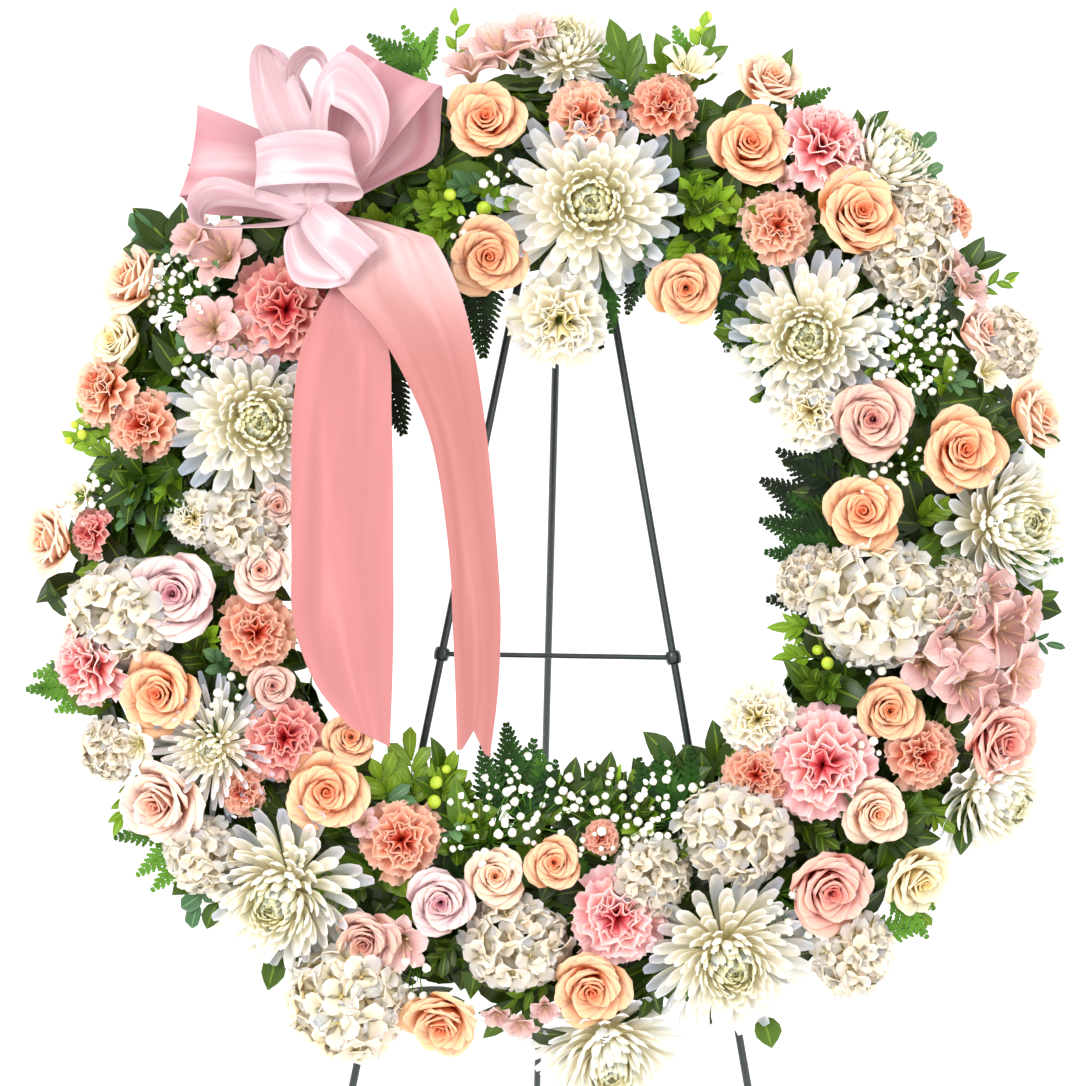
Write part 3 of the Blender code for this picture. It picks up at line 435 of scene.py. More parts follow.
mum_petals = petal_finish("mum_petals", "#F6E294", "#FFF6D8", "#FFFCF2", "#F2E25C", 0.50, 0.03,
                          glow=0.9, depth=0.015)
spider_petals = petal_finish(
    "spider_mum_petals", "#F4E2A4", "#FFF6DC", "#FFFCF2", "#F2E68C", 0.30, 0.04, glow=0.9, depth=0.012)
mum_places = [
    (football_mum, 31, 250, 122, 0.35, "white_mum_above_hole"),
    (football_mum, 12, 369, 74, 0.55, "white_mum_top"),
    (football_mum, 190, 152, 110, 0.5, "white_mum_upper_right"),
    (football_mum, 251, 285, 88, 0.75, "white_mum_and_hydrangea_right"),
    (football_mum, 340, 16, 108, 0.6, "white_mum_right"),
    (football_mum, 132, -304, 112, 0.45, "white_mum_bottom"),
    (football_mum, 45, -377, 100, 0.6, "white_mum_bottom"),
    (football_mum, 330, -186, 92, 0.75, "white_mum_lower_right_rim"),
    (football_mum, -197, -257, 114, 0.6, "white_mum_lower_left"),
    (spider_mum, -247, -149, 84, 0.5, "white_spider_mum_left"),
    (football_mum, -214, 91, 112, 0.4, "white_mum_upper_left"),
]
for number, (master, x, z, width, turn, node) in enumerate(mum_places):
    rim_sink = 0.012 if math.hypot(x, z) > 335 else 0.0
    planted(master, f"mum_{number + 1:02d}_{node[6:]}", (x, z, width, turn, 2.1 * number, rim_sink),
            spider_petals if master is spider_mum else mum_petals, node)
bpy.data.objects.remove(football_mum)
bpy.data.objects.remove(spider_mum)

# Garden roses have some thirty broad petals wrapped round each other: tight, upright ones in the
# heart, then wider cups whose lips roll outwards. They differ only in the colour they were bred to.
def wrapped(across, along, spec):
    """A broad petal wrapped round the flower's axis, by its angles from base to lip."""
    fine = np.linspace(0, 1, 61)
    angle = np.interp(fine, (0, 0.45, 0.8, 1.0), spec["angles"])
    step = spec["length"] / 60
    out = spec["foot"][0] + np.cumsum(np.sin(angle)) * step
    rise = spec["foot"][1] + np.cumsum(np.cos(angle)) * step
    reach = along * (1 - 0.15 * across * across * along)
    radius = np.interp(reach, fine, out)
    height = np.interp(reach, fine, rise)
    half = spec["half"] * np.interp(along, (0, 0.2, 0.55, 0.85, 1.0), (0.35, 0.7, 1.0, 0.92, 0.5))
    turn = across * np.minimum(half / np.maximum(radius, 0.03), 2.5)
    radius = radius * (1 + 0.05 * turn) + spec["roll"] * np.abs(across) ** 3 * along
    height = height - spec["roll"] * 1.3 * np.abs(across) ** 2.5 * along
    turn = turn + spec["azimuth"]
    return np.stack([radius * np.cos(turn), radius * np.sin(turn), height], axis=1)


def rose_head(name, count, open_by, seed):
    draw = random.Random(seed)
    specs = []
    for i in range(count):
        t = i / (count - 1)
        angles = np.radians([
            2 + 83 * t ** 0.8, -4 + 46 * t * open_by, 0 + 42 * t * open_by, 22 + 92 * t ** 0.7,
        ]) + draw.uniform(-0.05, 0.05)
        specs.append({
            "azimuth": i * 2.25 + draw.uniform(-0.15, 0.15), "ring": t, "angles": angles,
            "foot": (0.02 + 0.12 * t, -0.34 + 0.02 * t), "roll": 0.02 + 0.09 * t,
            "length": 0.78 + 0.22 * t + draw.uniform(-0.03, 0.03), "half": 0.26 + 0.30 * t,
        })
    return thickened(shaped_copies(flat_petal(6, 7), name, specs, wrapped), 0.022)


open_rose = rose_head("open_rose", 30, 1.0, 7)
cupped_rose = rose_head("cupped_rose", 26, 0.55, 8)
rose_colours = {
    "peach": petal_finish("rose_peach", "#E8541E", "#F69D6A", "#F9C7A2", "#E64D14", 0.4, 0.12),
    "tan": petal_finish("rose_tan_peach", "#D9622E", "#EC996E", "#F4C09B", "#D55422", 0.4, 0.12),
    "pale": petal_finish("rose_pale_peach", "#EC8751", "#F6BC97", "#F9D7BE", "#EA743A", 0.35, 0.12),
    "cream": petal_finish("rose_cream", "#DFB357", "#F0D59B", "#F5E7C6", "#E0B14B", 0.35, 0.12),
    "blush": petal_finish("rose_blush", "#DF7E64", "#EEB9A2", "#F5D8C8", "#DB6E55", 0.4, 0.14),
    "lilac": petal_finish("rose_lilac", "#BC6377", "#E5AFB2", "#F1D4CC", "#AD4468", 0.45, 0.16),
    "dusty": petal_finish("rose_dusty_pink", "#BC5B55", "#DD9A8D", "#ECC3B2", "#B04A4B", 0.4, 0.16),
    "pink": petal_finish("rose_pink", "#D34440", "#E88D82", "#F2BDAE", "#CB373A", 0.4, 0.16),
}
rose_places = [
    (-46, 310, 64, 0.5, "peach", "peach_roses_top_left"),
    (-44, 212, 64, 0.3, "tan", "peach_roses_top_left"),
    (101, 188, 60, 0.2, "tan", "peach_roses_top_right"),
    (146, 291, 68, 0.5, "peach", "peach_roses_top_right"),
    (163, 340, 56, 0.7, "pale", "peach_roses_top_right"),
    (225, 240, 72, 0.5, "peach", "pink_carnation_upper_right"),
    (301, 69, 70, 0.5, "peach", "peach_roses_right"),
    (356, 94, 60, 1.0, "pale", "peach_roses_right"),
    (236, 92, 68, 0.4, "dusty", "peach_roses_right"),
    (231, 25, 64, 0.4, "peach", "peach_roses_right"),
    (315, 155, 46, 1.0, "blush", "pink_lilies_right_top"),
    (248, -120, 54, 0.5, "tan", "peach_roses_lower_right"),
    (239, -195, 54, 0.5, "pale", "peach_roses_lower_right"),
    (269, -244, 62, 0.7, "cream", "peach_roses_lower_right"),
    (204, -250, 70, 0.5, "pink", "peach_roses_lower_right"),
    (330, -143, 66, 0.7, "pink", "pink_lilies_right"),
    (31, -323, 64, 0.5, "peach", "peach_roses_bottom"),
    (4, -233, 46, 0.3, "peach", "peach_roses_bottom"),
    (-39, -242, 50, 0.4, "pale", "peach_roses_bottom"),
    (-78, -348, 64, 0.7, "peach", "peach_roses_bottom_left"),
    (-79, -261, 56, 0.5, "lilac", "peach_roses_bottom_left"),
    (-134, -289, 54, 0.6, "dusty", "peach_roses_bottom_left"),
    (-163, -181, 67, 0.4, "peach", "peach_roses_lower_left"),
    (-146, -141, 46, 0.2, "tan", "peach_roses_lower_left"),
    (-203, -104, 38, 0.5, "dusty", "peach_roses_lower_left"),
    (-212, -18, 50, 0.3, "blush", "coral_carnation_left"),
    (-199, 29, 38, 0.2, "blush", "peach_rose_left"),
    (-283, -108, 68, 0.6, "peach", "blush_roses_left"),
    (-283, -187, 72, 0.7, "blush", "blush_roses_left"),
    (-273, -35, 72, 0.5, "lilac", "blush_roses_left"),
    (-365, 4, 60, 1.0, "pale", "peach_rose_left_rim"),
    (-305, 195, 60, 1.0, "pale", "peach_roses_upper_left"),
    (-315, 148, 48, 0.8, "cream", "peach_roses_upper_left"),
]
for number, (x, z, width, turn, colour, node) in enumerate(rose_places):
    master, spread = (cupped_rose, 1.22) if number % 3 == 2 or width < 52 else (open_rose, 1.07)
    planted(master, f"rose_{number + 1:02d}_{colour}", (x, z, width * spread, turn, 1.7 * number, -0.004),
            rose_colours[colour], node)
bpy.data.objects.remove(open_rose)
bpy.data.objects.remove(cupped_rose)

# Carnations are packed with ruffled, saw-edged fans, no two of which are crimped alike.
# The small ones in coral are spray carnations, and the cream-white ones near the hole are lisianthus.
def fan(across, along, spec):
    """A strap whose end is cut in teeth and ruffled."""
    tooth = np.round((across + 1) / 2 * spec["columns"]) % 2
    cut = along * (1 - spec["tooth"] * tooth * (along > 0.95) - 0.10 * across * across * along)
    return strap(across, cut, spec)


def carnation_head(name, count, seed):
    draw = random.Random(seed)
    specs = []
    for i in range(count):
        t = (i + 0.5) / count
        specs.append({
            "azimuth": i * golden + draw.uniform(-0.2, 0.2), "ring": t, "columns": 10,
            "foot": (0.02 + 0.06 * t, -0.32 - 0.10 * t), "tooth": 0.045,
            "start": 0.06 + 1.15 * t + draw.uniform(-0.1, 0.1),
            "end": 0.22 + 1.60 * t + draw.uniform(-0.2, 0.25),
            "length": (0.74 + 0.34 * t ** 0.7) * draw.uniform(0.94, 1.05),
            "half": 0.36 + 0.12 * t, "cup": 0.12, "outline": ((0, 0.45, 0.8, 1.0), (0.14, 0.45, 0.9, 1.0)),
            "ruffle": draw.uniform(0.10, 0.16), "waves": draw.uniform(4.0, 7.0),
            "phase": draw.uniform(0, 2 * math.pi),
        })
    return thickened(shaped_copies(flat_petal(10, 5), name, specs, fan), 0.016)


carnation = carnation_head("carnation", 34, 11)
# The carnations' tip stops are lighter than their petals' body, partly the petals' own paler lips and partly
# a painted highlight along the toothed edges.
carnation_colours = {
    "coral": petal_finish("carnation_coral", "#DB3112", "#EC7552", "#F1BDA3", "#D72D0E", 0.25, 0.15),
    "red": petal_finish("carnation_coral_red", "#D4212C", "#E95E63", "#F1AEA4", "#CE1C28", 0.25, 0.15),
    "pink": petal_finish("carnation_pink", "#EE4456", "#FC8E92", "#FFD2CC", "#EA3C4E", 0.25, 0.15),
    "peach": petal_finish("carnation_peach", "#E35629", "#F1936D", "#F3C8AE", "#DF4A1E", 0.25, 0.15),
    "cream": petal_finish("lisianthus_cream", "#E6C878", "#F9E8BE", "#FFF6E0", "#E4C86A", 0.2, 0.08,
                          glow=0.7),
}
carnation_places = [
    (8, 165, 72, 0.3, "cream", "white_mum_above_hole"),
    (192, 98, 56, 0.3, "cream", "white_mum_upper_right"),
    (153, -127, 56, 0.2, "cream", "white_carnation_lower_right"),
    (-260, 20, 40, 0.5, "cream", "white_mum_upper_left"),
    (27, 315, 54, 0.4, "peach", "pink_carnations_top"),
    (85, 324, 49, 0.5, "coral", "pink_carnations_top"),
    (168, 234, 53, 0.4, "peach", "peach_roses_top_right"),
    (204, 297, 70, 0.7, "pink", "pink_carnation_upper_right"),
    (299, 247, 38, 1.0, "coral", "pink_lilies_right_top"),
    (274, -154, 52, 0.5, "coral", "peach_roses_lower_right"),
    (201, -161, 80, 0.4, "pink", "pink_carnations_lower_right"),
    (152, -168, 46, 0.3, "coral", "pink_carnations_lower_right"),
    (50, -273, 68, 0.5, "pink", "peach_roses_bottom"),
    (38, -214, 26, 0.4, "coral", "peach_roses_bottom"),
    (-108, -216, 58, 0.4, "coral", "peach_roses_bottom_left"),
    (-193, -141, 60, 0.4, "red", "peach_roses_lower_left"),
    (-225, -181, 34, 0.5, "coral", "peach_roses_lower_left"),
    (-214, -64, 56, 0.4, "coral", "coral_carnation_left"),
    (-341, -89, 62, 0.9, "pink", "pink_carnation_left_rim"),
    (-337, 9, 36, 0.9, "red", "peach_rose_left_rim"),
    (-329, 116, 54, 0.9, "peach", "peach_roses_upper_left"),
    (-299, 88, 50, 0.6, "coral", "peach_roses_upper_left"),
    (-193, 173, 76, 0.4, "red", "pink_carnation_under_bow"),
]
for number, (x, z, width, turn, colour, node) in enumerate(carnation_places):
    planted(carnation, f"carnation_{number + 1:02d}_{colour}", (x, z, width, turn, 1.3 * number, -0.004),
            carnation_colours[colour], node)
bpy.data.objects.remove(carnation)

# Hydrangeas are domes of small florets with four round petals and a tiny button in the middle,
# each floret tipped its own way and lapping its neighbours.
def placed(shape):
    """A petal shape that is then moved by the spec's own matrix."""
    def moved(across, along, spec):
        points = shape(across, along, spec)
        turn = np.array(spec["place"])
        return points @ turn[:3, :3].T + turn[:3, 3]
    return moved


def hydrangea_head(name, count, seed):
    draw = random.Random(seed)
    specs = []
    for i in range(count):
        lift = 1 - 1.15 * (i + 0.5) / count
        flat = math.sqrt(max(0.0, 1 - lift * lift))
        aim = Vector((flat * math.cos(i * golden), flat * math.sin(i * golden), lift))
        centre = aim * draw.uniform(0.60, 0.82) - Vector((0, 0, 0.12))
        tip = (aim + Vector([draw.uniform(-0.4, 0.4) for _ in range(3)])).normalized()
        place = (Matrix.Translation(centre) @ tip.to_track_quat("Z", "Y").to_matrix().to_4x4()
                 @ Matrix.Rotation(draw.uniform(0, 1.5), 4, "Z"))
        size = draw.uniform(0.88, 1.12)
        for quarter in range(4):
            specs.append({
                "azimuth": quarter * math.pi / 2 + draw.uniform(-0.1, 0.1), "place": place,
                "foot": (0.012, 0.0), "start": 0.9, "end": 1.75 + draw.uniform(-0.25, 0.25),
                "length": 0.33 * size, "half": 0.17 * size, "cup": 0.25, "ring": 0.35 + 0.6 * i / count,
                "outline": ((0, 0.25, 0.6, 0.88, 1.0), (0.2, 0.75, 1.0, 0.82, 0.42)),
                "ruffle": 0.05, "waves": 3.4,
            })
        specs.append({
            "azimuth": 0.78, "place": place, "foot": (-0.02, 0.02), "start": 0.3, "end": 2.8,
            "length": 0.06, "half": 0.022, "cup": 0.4, "ring": 0.0, "outline": ((0, 1), (1, 0.6)),
        })
    return thickened(shaped_copies(flat_petal(3, 4), name, specs, placed(strap)), 0.008)


hydrangea = hydrangea_head("hydrangea", 40, 21)
hydrangea_petals = petal_finish(
    "hydrangea_petals", "#DCBA72", "#FAE6BE", "#FFF6E0", "#C8B45C", 0.06, 0.10, glow=0.8, depth=0.010)
hydrangea_places = [
    (264, 207, 80, 0.7, "white_mum_and_hydrangea_right"),
    (277, 244, 64, 0.8, "white_mum_and_hydrangea_right"),
    (340, 149, 58, 1.0, "white_hydrangea_right_rim"),
    (242, -42, 114, 0.3, "white_mum_right"),
    (193, -24, 58, 0.2, "white_mum_right"),
    (298, -36, 60, 0.6, "white_mum_right"),
    (135, -211, 92, 0.3, "white_hydrangea_lower_right"),
    (74, -245, 68, 0.3, "white_hydrangea_lower_right"),
    (225, -302, 74, 0.8, "white_mum_bottom"),
    (-23, -291, 84, 0.5, "white_hydrangea_bottom"),
    (-149, -334, 108, 0.7, "white_mum_lower_left"),
    (-255, -227, 70, 0.8, "white_spider_mum_left"),
    (-314, -51, 94, 0.7, "white_hydrangea_left"),
    (-322, -151, 54, 0.9, "white_hydrangea_left"),
    (-223, 11, 72, 0.3, "white_mum_upper_left"),
]
for number, (x, z, width, turn, node) in enumerate(hydrangea_places):
    planted(hydrangea, f"hydrangea_{number + 1:02d}", (x, z, width, turn, 1.1 * number, 0.004),
            hydrangea_petals, node)
bpy.data.objects.remove(hydrangea)

# Alstroemeria are open trumpets of six pointed petals, the narrower inner pair streaked with maroon,
# and six stamens. The big pink ones at the right rim hang in a cluster.
def lily_head(name, seed):
    draw = random.Random(seed)
    specs = []
    for i in range(6):
        inner = i % 2
        specs.append({
            "azimuth": i * math.pi / 3 + draw.uniform(-0.1, 0.1), "ring": 0.9 if inner else 0.5,
            "foot": (0.04, -0.55), "start": 0.25, "end": 1.45 + 0.25 * inner,
            "length": 1.15, "half": 0.28 if inner else 0.42, "cup": 0.45, "ruffle": 0.06, "waves": 3.5,
            "outline": ((0, 0.3, 0.65, 0.88, 1.0), (0.25, 0.6, 1.0, 0.80, 0.22)),
        })
    for i in range(6):
        specs.append({
            "azimuth": i * math.pi / 3 + 0.5, "ring": 0.02, "foot": (0.03, -0.5), "start": 0.1,
            "end": 0.7, "length": 0.85, "half": 0.022, "cup": 0.6,
            "outline": ((0, 0.85, 0.9, 1.0), (0.6, 0.5, 1.6, 1.0)),
        })
    return thickened(shaped_copies(flat_petal(6, 9), name, specs, strap), 0.02)


lily = lily_head("alstroemeria", 31)
lily_petals = petal_finish(
    "alstroemeria_petals", "#D4B786", "#D9A39D", "#E4C8C1", "#A6903B", 0.05, 0.35, "#B15965", glow=0.4)
cream_lily_petals = petal_finish(
    "alstroemeria_cream", "#E0D080", "#F8EAC4", "#FFF8E8", "#B8B040", 0.05, 0.2, "#D8B868", glow=0.6)
lily_places = [
    (-36, 366, 66, 0.9, "peach_roses_top_left"), (-58, 352, 50, 1.1, "peach_roses_top_left"),
    (-14, 376, 50, 0.8, "peach_roses_top_left"), (308, 190, 46, 1.0, "pink_lilies_right_top"),
    (300, -68, 74, 0.6, "pink_lilies_right"), (334, -62, 66, 1.0, "pink_lilies_right"),
    (306, -100, 70, 0.5, "pink_lilies_right"), (346, -92, 60, 1.1, "pink_lilies_right"),
    (324, -34, 50, 0.9, "pink_lilies_right"), (276, -86, 56, 0.3, "pink_lilies_right"),
    (326, -116, 56, 0.8, "pink_lilies_right"), (352, -50, 44, 1.2, "pink_lilies_right"),
    (-108, -291, 50, 0.6, "peach_roses_bottom_left"),
    (-239, 214, 60, 0.7, "pink_carnation_under_bow"), (-247, 160, 56, 0.6, "pink_carnation_under_bow"),
    (-262, 226, 44, 1.0, "pink_carnation_under_bow"), (-222, 152, 46, 0.4, "pink_carnation_under_bow"),
    (104, 352, 54, 0.9, "white_mum_top"), (-344, 36, 36, 1.0, "white_spider_mum_left"),
    (-302, -147, 40, 0.6, "white_spider_mum_left"), (322, 128, 40, 0.8, "white_mum_right"),
    (-136, -203, 28, 0.4, "peach_roses_bottom_left"), (-21, -352, 32, 0.9, "peach_roses_bottom"),
    (-38, -345, 28, 0.9, "peach_roses_bottom"), (-3, -340, 28, 0.7, "peach_roses_bottom"),
    (296, 205, 34, 0.8, "pink_lilies_right_top"), (172, 268, 24, 0.4, "peach_roses_top_right"),
]
for number, (x, z, width, turn, node) in enumerate(lily_places):
    planted(lily, f"alstroemeria_{number + 1:02d}", (x, z, width, turn, 0.9 * number, -0.006),
            cream_lily_petals if node.startswith("white") else lily_petals, node)
bpy.data.objects.remove(lily)

# Greenery fills every gap: dark salal leaves tucked against the foam, lighter sprigs of pittosporum
# and ruscus between the heads, grey-green eucalyptus at the rim and leatherleaf fern in the hole.
# A leaf lies along its own X axis from its stalk, with its upper side towards +Z.
def on_photo(px, py):
    """Where a pixel of the photograph lies on the wreath, in mm from the ring's centre."""
    mm_per_pixel = 0.732
    return (px - 549) * mm_per_pixel, (545 - py) * mm_per_pixel


def lying(base, direction, normal, size):
    """A place on the wreath for a leaf that runs one way with its face another."""
    run = direction.normalized()
    side = normal.cross(run).normalized()
    face = run.cross(side)
    turn = Matrix((run, side, face)).transposed().to_4x4()
    return hanging @ Matrix.Translation(base) @ turn @ Matrix.Scale(size, 4)


outlines = {
    "salal": ((0, 0.06, 0.3, 0.6, 0.86, 1.0), (0.06, 0.35, 0.95, 0.95, 0.45, 0.02)),
    "pittosporum": ((0, 0.1, 0.45, 0.75, 0.92, 1.0), (0.08, 0.3, 0.85, 1.0, 0.6, 0.05)),
    "ruscus": ((0, 0.1, 0.4, 0.7, 0.9, 1.0), (0.08, 0.55, 1.0, 0.75, 0.32, 0.02)),
    "eucalyptus": ((0, 0.12, 0.45, 0.8, 0.93, 1.0), (0.10, 0.65, 1.0, 0.85, 0.5, 0.12)),
}
leaf_specs = {kind: [] for kind in outlines}
stalk_specs = []
leaf_draw = random.Random(41)


def blade(place, start, end, half, outline, ring, cup=0.0, length=1.0):
    """A strap that runs along its place's own X axis, from one angle off Z to another."""
    return {"place": place, "azimuth": 0.0, "foot": (0.0, 0.0), "start": start, "end": end,
            "half": half, "outline": outline, "ring": ring, "cup": cup, "length": length}


def add_leaf(kind, base, direction, normal, length, width, tone):
    """A leaf on the wreath, in metres from the ring's centre."""
    bend, cup = leaf_draw.uniform(0.05, 0.5), leaf_draw.uniform(0.15, 0.5)
    leaf_specs[kind].append(blade(lying(base, direction, normal, length), math.pi / 2 - bend,
                                  math.pi / 2 + bend, width / length / 2, outlines[kind], tone, cup))


def add_stalk(base, tip, normal):
    run = tip - base
    stalk_specs.append(blade(lying(base, run, normal, run.length), math.pi / 2 - 0.08,
                             math.pi / 2 + 0.08, 0.0008 / run.length, ((0, 1), (1, 0.5)), 0.6))


def add_sprig(kind, base, direction, normal, length, leaf, width, count, tone):
    """A twig with leaves to both sides and one at its tip."""
    run = direction.normalized()
    side = normal.cross(run).normalized()
    add_stalk(base, base + run * length * 0.85, normal)
    for i in range(count):
        along = length * (0.15 + 0.8 * i / (count - 1))
        hand = 0.0 if i == count - 1 else (1 if i % 2 else -1) * leaf_draw.uniform(0.7, 1.1)
        way = run + side * hand + normal * leaf_draw.uniform(0.0, 0.35)
        face = normal + side * leaf_draw.uniform(-0.5, 0.5) + run * leaf_draw.uniform(-0.3, 0.3)
        size = leaf * leaf_draw.uniform(0.8, 1.1)
        add_leaf(kind, base + run * along, way, face, size, width * size / leaf, tone)


head_spots = ([(on_ring(p[1], p[2]), p[3] * 0.0005) for p in mum_places]
              + [(on_ring(p[0], p[1]), p[2] * 0.0005)
                 for p in rose_places + carnation_places + hydrangea_places + lily_places]
              + [(on_ring(-106, 300), 0.036), (on_ring(-96, 262), 0.022), (on_ring(-200, 270), 0.070)])


def room_at(point):
    """How far a place on the wreath is from the edge of the nearest head."""
    return min(math.hypot(point.x - spot.x, point.z - spot.z) - size for spot, size in head_spots)


def ring_ways(point):
    """The ways round the ring and away from its centre at a point."""
    return Vector((-point.z, 0, point.x)).normalized(), (point - Vector((0, point.y, 0))).normalized()


# An under-layer of single salal leaves every 16 mm, lying low where a head covers them.
spacing = 16.0
for row in range(-28, 29):
    for column in range(-25, 26):
        x = (column + 0.5 * (row % 2) + leaf_draw.uniform(-0.3, 0.3)) * spacing
        z = (row * 0.87 + leaf_draw.uniform(-0.3, 0.3)) * spacing
        rho = math.hypot(x, z)
        room = room_at(on_ring(x, z))
        if not 200 < rho < 378 or room < -0.026 or (rho > 350 and room > 0.008):
            continue
        point, out = on_dome(x, z)
        low = room < 0.004
        point -= out * leaf_draw.uniform(0.028 if low else 0.018, 0.042)
        around, away = ring_ways(point)
        angle = leaf_draw.uniform(0, 2 * math.pi)
        outwards = math.sin(angle) * (0.7 if rho < 335 else 0.25)
        way = around * math.cos(angle) + away * outwards + out * leaf_draw.uniform(0.0, 0.1 if low else 0.4)
        face = out + around * leaf_draw.uniform(-0.5, 0.5) + Vector((0, -0.4, 0))
        add_leaf("salal", point, way, face, leaf_draw.uniform(0.034, 0.052 if rho < 335 else 0.042),
                 leaf_draw.uniform(0.017, 0.025), leaf_draw.uniform(0.0, 0.7))
# Short sprigs of the lighter leaves in the gaps between heads.
for row in range(-18, 19):
    for column in range(-18, 19):
        x = (column + 0.5 * (row % 2)) * 22 + leaf_draw.uniform(-5, 5)
        z = row * 19 + leaf_draw.uniform(-5, 5)
        room = room_at(on_ring(x, z))
        if not 200 < math.hypot(x, z) < 345 or room < 0.001:
            continue
        point, out = on_dome(x, z)
        around, away = ring_ways(point)
        angle = leaf_draw.uniform(0, 2 * math.pi)
        way = around * math.cos(angle) * 0.8 + away * math.sin(angle) * 0.6 + out * 0.8
        kind = leaf_draw.choice(("pittosporum", "pittosporum", "ruscus", "eucalyptus"))
        add_sprig(kind, point - out * 0.028, way, out + Vector((0, -0.3, 0)), 0.030,
                  0.019, 0.009, 6, leaf_draw.uniform(0.0, 0.75))
# A collar of salal round the outer and inner sides of the foam.
for rim, count, most in ((ring_mid + 0.039, 330, 0.75), (ring_mid - 0.039, 170, -0.55)):
    for i in range(count):
        around = 2 * math.pi * (i + leaf_draw.uniform(-0.4, 0.4)) / count
        away = Vector((math.cos(around), 0, math.sin(around)))
        point = away * rim + Vector((0, -leaf_draw.uniform(0.004, 0.056), 0))
        beside = away.cross(Vector((0, 1, 0)))
        way = away * most + beside * leaf_draw.uniform(-0.9, 0.9)
        way += Vector((0, leaf_draw.uniform(-1.0, 0.25), 0))
        face = away * (0.8 if most > 0 else -0.8) + Vector((0, leaf_draw.uniform(-0.6, 0.5), 0))
        add_leaf("salal", point, way, face, leaf_draw.uniform(0.030, 0.046 if most > 0 else 0.036),
                 leaf_draw.uniform(0.016, 0.024), leaf_draw.uniform(0.0, 0.8))

